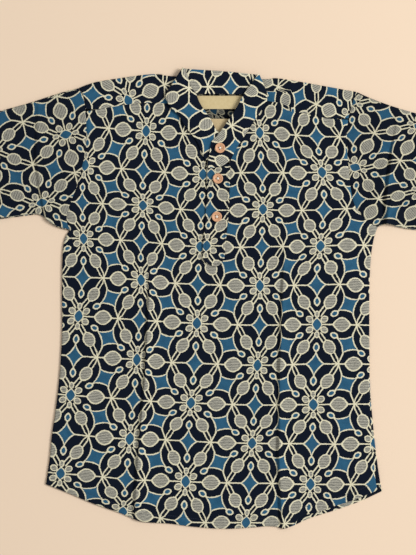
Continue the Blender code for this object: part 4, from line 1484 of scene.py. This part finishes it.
@dataclass
class CollarBand:
    """The stand collar: one stiff band, its back half inside up, both ends folded over in front."""

    finishes: Finishes
    columns: int = 12
    cut: Cut = Cut(0.30, 0.032, 0.0086, ("yoke", "front_panel"), Held.FOLDED)
    left: FlatPrint = FlatPrint((-29.1, 286.0), (0.0, -1.05), (1.0, 0.0))
    back: FlatPrint = FlatPrint((-53.3, 240.7), (1.03, 0.0), (0.0, 1.0))
    right: FlatPrint = FlatPrint((-18.6, 168.2), (0.85, 0.62), (0.59, -0.81))

    def fold(
        self, line: tuple, outward: tuple[float, float], heights: tuple[float, float]
    ) -> np.ndarray:
        """Stations round one of the band's side folds, from the first height to the last.

        Args:
            line: the fold's seam end and free end.
            outward: which way the fold bulges.
            heights: mid height where it begins and ends, in mm.

        Returns:
            Seam point, free point and mid height of each station.
        """
        radius = abs(heights[0] - heights[1]) / 2
        rows = []
        for angle in np.radians(np.linspace(90, -90, 11)):
            back = radius * (1 - math.cos(angle))
            ends = [(x - outward[0] * back, y - outward[1] * back) for x, y in line]
            rows.append((*ends[0], *ends[1], sum(heights) / 2 + radius * math.sin(angle)))
        return np.array(rows if heights[0] > heights[1] else rows[::-1])

    def stations(self) -> tuple[np.ndarray, np.ndarray]:
        """Each station's seam point, free point, mid height and crown, and its part of the band.

        Returns:
            The rows of seam point, free point, mid height and crown, and each row's part.
        """
        half = BAND_WALL / 2
        back_mid = BAND_UNDER_BACK + half
        front_mid = back_mid + 2 * BAND_FOLD_RADIUS
        left, right = spline(BAND_LEFT, 2.5), spline(BAND_RIGHT, 2.5)
        back = spline(BAND_BACK, 4.0)
        left[:, 4] += half
        right[:, 4] += half
        back = np.column_stack([back, np.full(len(back), back_mid)])
        parts = [
            left, self.fold(BAND_FOLD_LEFT, (-0.84, 0.54), (front_mid, back_mid)), back,
            self.fold(BAND_FOLD_RIGHT, (0.92, 0.39), (back_mid, front_mid)), right,
        ]
        crowns = [
            BAND_CROWN * smooth_step(0, 18, np.arange(len(left), dtype=float)),
            np.linspace(BAND_CROWN, 0, len(parts[1])), np.zeros(len(back)),
            np.linspace(0, BAND_CROWN, len(parts[3])), np.full(len(right), BAND_CROWN),
        ]
        kinds = np.concatenate([np.full(len(part), i) for i, part in enumerate(parts)])
        rows = np.concatenate(parts)
        return np.column_stack([rows, np.concatenate(crowns)]), kinds

    def build(self) -> None:
        """Build the band."""
        rows, kinds = self.stations()
        obj, u, v = add_grid("collar_band", self.columns, len(rows) - 1)
        station = np.rint(v * (len(rows) - 1)).astype(int)
        here = rows[station]
        across = u[:, None]
        plan = here[:, :2] * (1 - across) + here[:, 2:4] * across
        z = here[:, 4] + here[:, 5] * np.sin(math.pi * u)
        kind = kinds[station]
        printed = self.back.places(plan)
        printed = np.where((kind <= 1)[:, None], self.left.places(plan), printed)
        printed = np.where((kind >= 3)[:, None], self.right.places(plan), printed)
        lay(obj, np.column_stack([plan, z]), printed)
        thicken(obj, BAND_WALL - 0.1, centred=True)
        bevel(obj, 0.45, 60)
        # The band takes the print brightened as painted light
        finish_sheet(obj, [self.finishes.brighter], "collar")


@dataclass
class Placket:
    """The half placket: the strip that shows and the one beneath it."""

    finishes: Finishes
    # The strip's middle and half sizes, by which it is drawn in
    middle: tuple[float, float] = (2.0, 96.0)
    half: tuple[float, float] = (14.0, 56.0)
    under_inset: float = 1.3
    over_cut: Cut = Cut(0.030, 0.113, 0.0029, ("front_panel",))
    under_cut: Cut = Cut(0.030, 0.111, 0.0026, ("yoke",))

    def drawn_in(self, points: np.ndarray, inset: float) -> np.ndarray:
        """Points of the strip's outline moved inwards by an inset."""
        middle = np.array(self.middle)
        return middle + (points - middle) * (1 - inset / np.array(self.half))

    def patch(self, inset: float) -> Patch:
        """The strip's four edges, drawn in by an inset.

        Args:
            inset: how far the edges are drawn in, in mm.

        Returns:
            The area between those edges.
        """
        edges = (PLACKET_LEFT, PLACKET_FOOT, PLACKET_RIGHT)
        left, foot, right = (self.drawn_in(spline(rows, 2), inset) for rows in edges)
        above = np.array([left[0], right[-1]])
        return Patch(Curve(foot), Curve(above), Curve(left[::-1]), Curve(right))

    def printed(self, plan: np.ndarray) -> np.ndarray:
        """Print places: a flower's column runs down the middle of the strip.

        Args:
            plan: x and y of each point, in mm.

        Returns:
            Each point's place on the print.
        """
        sides = [x_on(spline(rows), plan[:, 1]) for rows in (PLACKET_LEFT, PLACKET_RIGHT)]
        column = plan[:, 0] - sum(sides) / 2 + 8.6
        return np.column_stack([column, (plan[:, 1] - 140.8) * 80 / 71])

    def outline(self) -> np.ndarray:
        """The strip's outline from its left top round its foot."""
        return chain(spline(PLACKET_LEFT), spline(PLACKET_FOOT, 2), spline(PLACKET_RIGHT))

    def over_points(self, plan: np.ndarray) -> np.ndarray:
        """The upper strip's outer surface: a rolled rim, a stitched dip and a flat middle.

        Args:
            plan: x and y of each point, in mm.

        Returns:
            x, y and z of each point.
        """
        edge = distance_to(plan, self.outline())
        lift = SEAM_GAP + PLACKET_WALL * (0.55 + 0.45 * rounded(edge, 1.6))
        lift += 0.5 * hump(edge, 2.0) - 0.25 * hump(edge - 2.6, 0.8)
        return np.column_stack([plan, RELIEF.top(plan) + lift])

    def build(self) -> None:
        """Build both strips."""
        cotton = [self.finishes.cotton]
        obj, u, v = add_grid("placket_upper_strip", 34, 96)
        u, v = crowded(u, [(0, 0.05, 3), (1, 0.05, 3)]), crowded(v, EDGE_CROWD)
        plan = self.patch(0.0).places(u, v)
        lay(obj, self.over_points(plan), self.printed(plan))
        thicken(obj, 0.8)
        finish_sheet(obj, cotton, "placket_over")
        obj, u, v = add_grid("placket_under_strip", 12, 40)
        plan = self.patch(self.under_inset).places(u, v)
        lay(obj, np.column_stack([plan, RELIEF.rest(plan) + 0.5]), self.printed(plan))
        thicken(obj, 0.45)
        finish_sheet(obj, cotton, "placket_under")


@dataclass
class Label:
    """A bare label sewn inside the neck, its ends turned under."""

    name: str
    piece: str
    box: tuple[float, float, float, float]
    material: bpy.types.Material
    slot: Slot
    tilt: float

    def build(self) -> None:
        """Build the label."""
        low_x, low_y, high_x, high_y = self.box
        obj, u, v = add_grid(self.piece, 30, 14)
        x = low_x + (high_x - low_x) * u
        y = low_y + (high_y - low_y) * v
        ends = np.minimum(u, 1 - u) * (high_x - low_x)
        edges = np.minimum(v, 1 - v) * (high_y - low_y)
        z = 1.75 + 0.45 * rounded(ends, 1.2) * (0.7 + 0.3 * rounded(edges, 0.8))
        z += 0.25 * np.sin(u * math.pi) * self.tilt * v
        lay(obj, np.column_stack([x, y, z]), np.column_stack([x, y]))
        thicken(obj, 0.4)
        flat = (round(side * MM, 4) for side in (high_x - low_x, high_y - low_y))
        cut = Cut(*flat, rests_on=("yoke",))
        finish_sheet(obj, [self.material], self.name)


@dataclass
class Button:
    """A turned button: raised rim, dished middle, four holes and the thread that crosses them."""

    finishes: Finishes
    number: int
    place: tuple[float, float]
    turn: float
    diameter: float = 11.5
    thickness: float = 2.4
    rim: float = 1.5
    dish: float = 0.7
    hole: float = 1.5
    spacing: float = 2.7
    strand: float = 0.23
    strand_offset: float = 0.26

    def hole_places(self) -> list[tuple[float, float]]:
        """Where the four holes are.

        Returns:
            x and y of each hole's middle, in mm.
        """
        reach = self.spacing / math.sqrt(2)
        angles = [math.radians(self.turn + 90 * i) for i in range(4)]
        x, y = self.place
        return [(x + reach * math.cos(a), y + reach * math.sin(a)) for a in angles]

    def turned_disc(self, base: float) -> bpy.types.Object:
        """Turn the disc: a cylinder, its top inset to a rim and a dish, its edges rounded.

        Args:
            base: height of the surface it lies on, in mm.

        Returns:
            The disc, not drilled yet.
        """
        deselect()
        x, y = self.place
        bpy.ops.mesh.primitive_cylinder_add(
            vertices=64, radius=self.diameter / 2 * MM, depth=self.thickness * MM,
            location=(x * MM, y * MM, (base + self.thickness / 2) * MM),
        )
        obj = bpy.context.object
        obj.name = obj.data.name = f"turned_button_{self.number}"
        bpy.ops.object.transform_apply(location=True, rotation=True, scale=True)
        bpy.ops.object.mode_set(mode="EDIT")
        bpy.ops.mesh.select_all(action="DESELECT")
        bpy.ops.object.mode_set(mode="OBJECT")
        for face in obj.data.polygons:
            face.select = face.normal.z > 0.9
        bpy.ops.object.mode_set(mode="EDIT")
        bpy.ops.mesh.inset(thickness=self.rim * MM, depth=0.0)
        bpy.ops.mesh.inset(thickness=0.6 * MM, depth=-self.dish * MM)
        bpy.ops.object.mode_set(mode="OBJECT")
        bevel(obj, 0.42, 28)
        return obj

    def drill(self, disc: bpy.types.Object, base: float) -> None:
        """Drill the four holes right through the disc.

        Args:
            disc: the turned disc.
            base: height of the surface it lies on, in mm.
        """
        drills = []
        for x, y in self.hole_places():
            deselect()
            bpy.ops.mesh.primitive_cylinder_add(
                vertices=20, radius=self.hole / 2 * MM, depth=3 * self.thickness * MM,
                location=(x * MM, y * MM, (base + self.thickness / 2) * MM),
            )
            drills.append(bpy.context.object)
        deselect()
        for drill in drills:
            drill.select_set(True)
        bpy.context.view_layer.objects.active = drills[0]
        bpy.ops.object.join()
        cutter = bpy.context.object
        apply_modifier(disc, "BOOLEAN", operation="DIFFERENCE", object=cutter, solver="EXACT")
        bpy.data.objects.remove(cutter, do_unlink=True)

    def thread(self, base: float) -> bpy.types.Object:
        """Lay the thread: strands from each hole over the middle into the one across.

        Args:
            base: height of the surface it lies on, in mm.

        Returns:
            The thread, as one piece.
        """
        holes = self.hole_places()
        pieces = []
        floor = base + self.thickness - self.dish
        for pair in ((0, 2), (1, 3)):
            (ax, ay), (bx, by) = holes[pair[0]], holes[pair[1]]
            length = math.dist((ax, ay), (bx, by))
            nx, ny = -(by - ay) / length, (bx - ax) / length
            top = 0.65 + 0.1 * pair[0]
            shares = [(0.1, -1.6), (0.14, 0.0), (0.5, top), (0.86, 0.0), (0.9, -1.6)]
            for side in (-self.strand_offset, self.strand_offset):
                deselect()
                bpy.ops.curve.primitive_bezier_curve_add()
                curve = bpy.context.object
                line = curve.data.splines[0]
                line.bezier_points.add(3)
                for point, (share, rise) in zip(line.bezier_points, shares):
                    spot = (
                        (ax + (bx - ax) * share + nx * side) * MM,
                        (ay + (by - ay) * share + ny * side) * MM,
                        (floor + rise) * MM,
                    )
                    point.co = spot
                    point.handle_left_type = point.handle_right_type = "AUTO"
                curve.data.bevel_depth = self.strand * MM
                curve.data.bevel_resolution = 2
                curve.data.resolution_u = 4
                bpy.ops.object.convert(target="MESH")
                pieces.append(bpy.context.object)
        deselect()
        for piece in pieces:
            piece.select_set(True)
        bpy.context.view_layer.objects.active = pieces[0]
        bpy.ops.object.join()
        obj = bpy.context.object
        obj.name = obj.data.name = f"button_thread_{self.number}"
        bpy.ops.object.transform_apply(location=True, rotation=True, scale=True)
        return obj

    def build(self, base: float) -> None:
        """Build the button and its thread on a surface at a height.

        Args:
            base: height of the surface it lies on, in mm.
        """
        disc = self.turned_disc(base)
        self.drill(disc, base)
        smooth(disc, 35)
        dress(disc, [self.finishes.coconut], f"button_{self.number}")
        thread = self.thread(base)
        smooth(thread)
        dress(thread, [self.finishes.cream_thread])


@dataclass
class TopStitching:
    """Rows of machine stitches, one mesh for each row."""

    finishes: Finishes
    pitch: float = 2.6
    length: float = 2.0
    width: float = 0.42
    raised: float = 0.08

    def bead(self) -> tuple[np.ndarray, list[list[int]]]:
        """One stitch at the origin along X: its points and faces, modelled once.

        Returns:
            Its points in mm, and its faces.
        """
        deselect()
        bpy.ops.mesh.primitive_uv_sphere_add(
            segments=6, ring_count=4, radius=1.0, rotation=(0, math.pi / 2, 0)
        )
        obj = bpy.context.object
        bpy.ops.object.transform_apply(location=True, rotation=True, scale=True)
        size = np.array([self.length / 2, self.width / 2, self.width / 2])
        points = np.array([tuple(v.co) for v in obj.data.vertices]) * size
        faces = [list(face.vertices) for face in obj.data.polygons]
        bpy.data.objects.remove(obj, do_unlink=True)
        return points, faces

    def row(self, name: str, path: np.ndarray) -> None:
        """Sew one row along a path of x, y, z in millimetres.

        Args:
            name: the row's name.
            path: the line that it follows.
        """
        points, faces = self.bead()
        path = path + np.array([0, 0, self.raised])
        steps = np.hypot(*np.diff(path[:, :2], axis=0).T)
        way = np.concatenate([[0], np.cumsum(steps)])
        count = int(way[-1] / self.pitch)
        spots = (np.arange(count) + 0.5) * self.pitch
        centres = np.stack([np.interp(spots, way, path[:, i]) for i in range(3)], axis=1)
        ahead = np.stack([np.interp(spots + 0.5, way, path[:, i]) for i in range(3)], axis=1)
        found, joined = [], []
        for centre, front in zip(centres, ahead):
            run = (front - centre) / max(np.linalg.norm(front - centre), 1e-9)
            side = np.array([-run[1], run[0], 0.0])
            side /= max(np.linalg.norm(side), 1e-9)
            turn = np.array([run, side, np.cross(run, side)])
            base = len(found) * len(points)
            found.append(points @ turn + centre)
            joined.extend([i + base for i in face] for face in faces)
        mesh = bpy.data.meshes.new(name)
        mesh.from_pydata((np.concatenate(found) * MM).tolist(), [], joined)
        obj = bpy.data.objects.new(name, mesh)
        bpy.context.scene.collection.objects.link(obj)
        smooth(obj)
        dress(obj, [self.finishes.navy_thread])


@dataclass
class Studio:
    """A pale floor, a straight-down camera and soft light from the upper right."""

    centre: tuple[float, float] = (-7.4, 23.9)
    height: float = 1.8
    seen: float = 632.7
    floor_colour: str = "#ecd4ba"
    lamp_place: tuple[float, float, float] = (2.4, 0.55, 2.45)
    lamp_aim: tuple[float, float, float] = (-0.05, 0.0, 0.0)
    lamp_size: float = 1.5
    lamp_energy: float = 95.0
    room_glow: float = 0.49

    def floor(self) -> None:
        """Lay the pale paper floor."""
        deselect()
        bpy.ops.mesh.primitive_plane_add(size=6.0, location=(0, 0, -0.0002))
        obj = bpy.context.object
        obj.name = "paper_floor"
        bpy.ops.object.transform_apply(location=True, rotation=True, scale=True)
        material, n = new_material("matte peach paper")
        # Matte paper: no gloss at all, with hardly visible fibre
        fibre = n.add("TexNoise", n.add("TexCoord").outputs["Object"], Scale=900.0, Detail=2.0)
        bump = n.add("Bump", Strength=0.05, Distance=0.0002, Height=fibre)
        colour = linear(self.floor_colour)
        surface = n.add("BsdfPrincipled", colour, Roughness=1.0, IOR=1.3, Normal=bump)
        n.add("OutputMaterial", surface)
        obj.data.materials.append(material)

    def lights(self) -> None:
        """Hang the soft lamp and set the pale surroundings."""
        deselect()
        bpy.ops.object.light_add(type="AREA", location=self.lamp_place)
        lamp = bpy.context.object
        lamp.name = "soft_lamp"
        lamp.data.shape = "DISK"
        lamp.data.size = self.lamp_size
        lamp.data.energy = self.lamp_energy
        lamp.data.color = linear("#ffffff")[:3]
        x, y, z = np.array(self.lamp_aim) - np.array(lamp.location)
        lamp.rotation_euler = (math.atan2(math.hypot(x, y), -z), 0, math.atan2(y, x) - math.pi / 2)
        world = bpy.data.worlds.new("pale room")
        world.use_nodes = True
        n = Nodes(world.node_tree)
        glow = n.add("Background", linear("#ffffff"), Strength=self.room_glow)
        n.add("OutputWorld", glow)
        bpy.context.scene.world = world

    def camera(self) -> None:
        """Place the camera straight above the garment."""
        x, y = self.centre
        bpy.ops.object.camera_add(location=(x * MM, y * MM, self.height))
        camera = bpy.context.object
        camera.data.sensor_width = 36.0
        camera.data.lens = 36.0 * self.height / (self.seen * MM)
        bpy.context.scene.camera = camera

    def build(self) -> None:
        """Set up the floor, the light and the camera."""
        self.floor()
        self.lights()
        self.camera()
        bpy.context.scene.view_settings.view_transform = "Standard"


@dataclass
class Kurta:
    """The whole garment."""

    finishes: Finishes
    prints: FrontPrint = field(default_factory=FrontPrint)

    def sleeves(self) -> list[Sleeve]:
        """Both sleeves.

        Returns:
            The left and the right one.
        """
        left = FlatPrint((-169.1, 186.4), (0.232, -0.973), (-0.95, -0.215))
        right = FlatPrint((159.9, 149.2), (0.492, 0.871), (0.85, -0.31))
        left_cut = Cut(0.290, 0.152, 0.0368, held=Held.FOLDED)
        right_cut = Cut(0.290, 0.150, 0.0366, held=Held.FOLDED)
        return [
            Sleeve(
                self.finishes, "sleeve_left", ARM_LEFT, spline(SLEEVE_TOP_LEFT),
                spline(SLEEVE_UNDER_LEFT), -1, left, left_cut,
            ),
            Sleeve(
                self.finishes, "sleeve_right", ARM_RIGHT, spline(SLEEVE_TOP_RIGHT),
                spline(SLEEVE_UNDER_RIGHT), 1, right, right_cut,
            ),
        ]

    def labels(self) -> list[Label]:
        """Both labels.

        Returns:
            The neck label and the size label.
        """
        neck_box, size_box = (-21.5, 215.8, 35, 230.8), (-12.6, 185.2, 21.8, 204.6)
        woven, tape = self.finishes.woven, self.finishes.tape
        return [
            Label("neck_label", "woven_neck_label", neck_box, woven, Slot.WOVEN, 1.0),
            Label("size_label", "plain_size_label", size_box, tape, Slot.TAPE, 0.5),
        ]

    def stitch(self, body: Body, placket: Placket) -> None:
        """Sew the topstitching rows.

        Args:
            body: the body, for the hem's row.
            placket: the placket, for its row.
        """
        sewing = TopStitching(self.finishes)
        inner = placket.drawn_in(placket.outline(), 2.6)
        sewing.row("placket_stitching", placket.over_points(inner))
        hem = FRONT_HEM[2:-2] + np.array([0.0, body.hem_turning])
        sewing.row("hem_stitching", body.front_points(hem))

    def build(self) -> None:
        """Build every piece."""
        body, placket = Body(self.finishes, self.prints), Placket(self.finishes)
        pieces = [body, Yoke(self.finishes), *self.sleeves(), CollarBand(self.finishes), placket]
        for piece in [*pieces, *self.labels()]:
            piece.build()
        sewn = [((6.3, 170.8), 72.0), ((3.8, 136.3), 8.0), ((2.6, 92.9), 50.0)]
        for number, (place, turn) in enumerate(sewn, 1):
            low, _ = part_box(f"button_{number}")
            Button(self.finishes, number, place, turn).build(low[2] / MM)
        self.stitch(body, placket)


def main() -> None:
    """Build the kurta and its studio."""
    logging.basicConfig(level=logging.INFO)
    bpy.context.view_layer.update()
    Kurta(Finishes.build()).build()
    Studio().build()


if __name__ == "__main__":
    main()
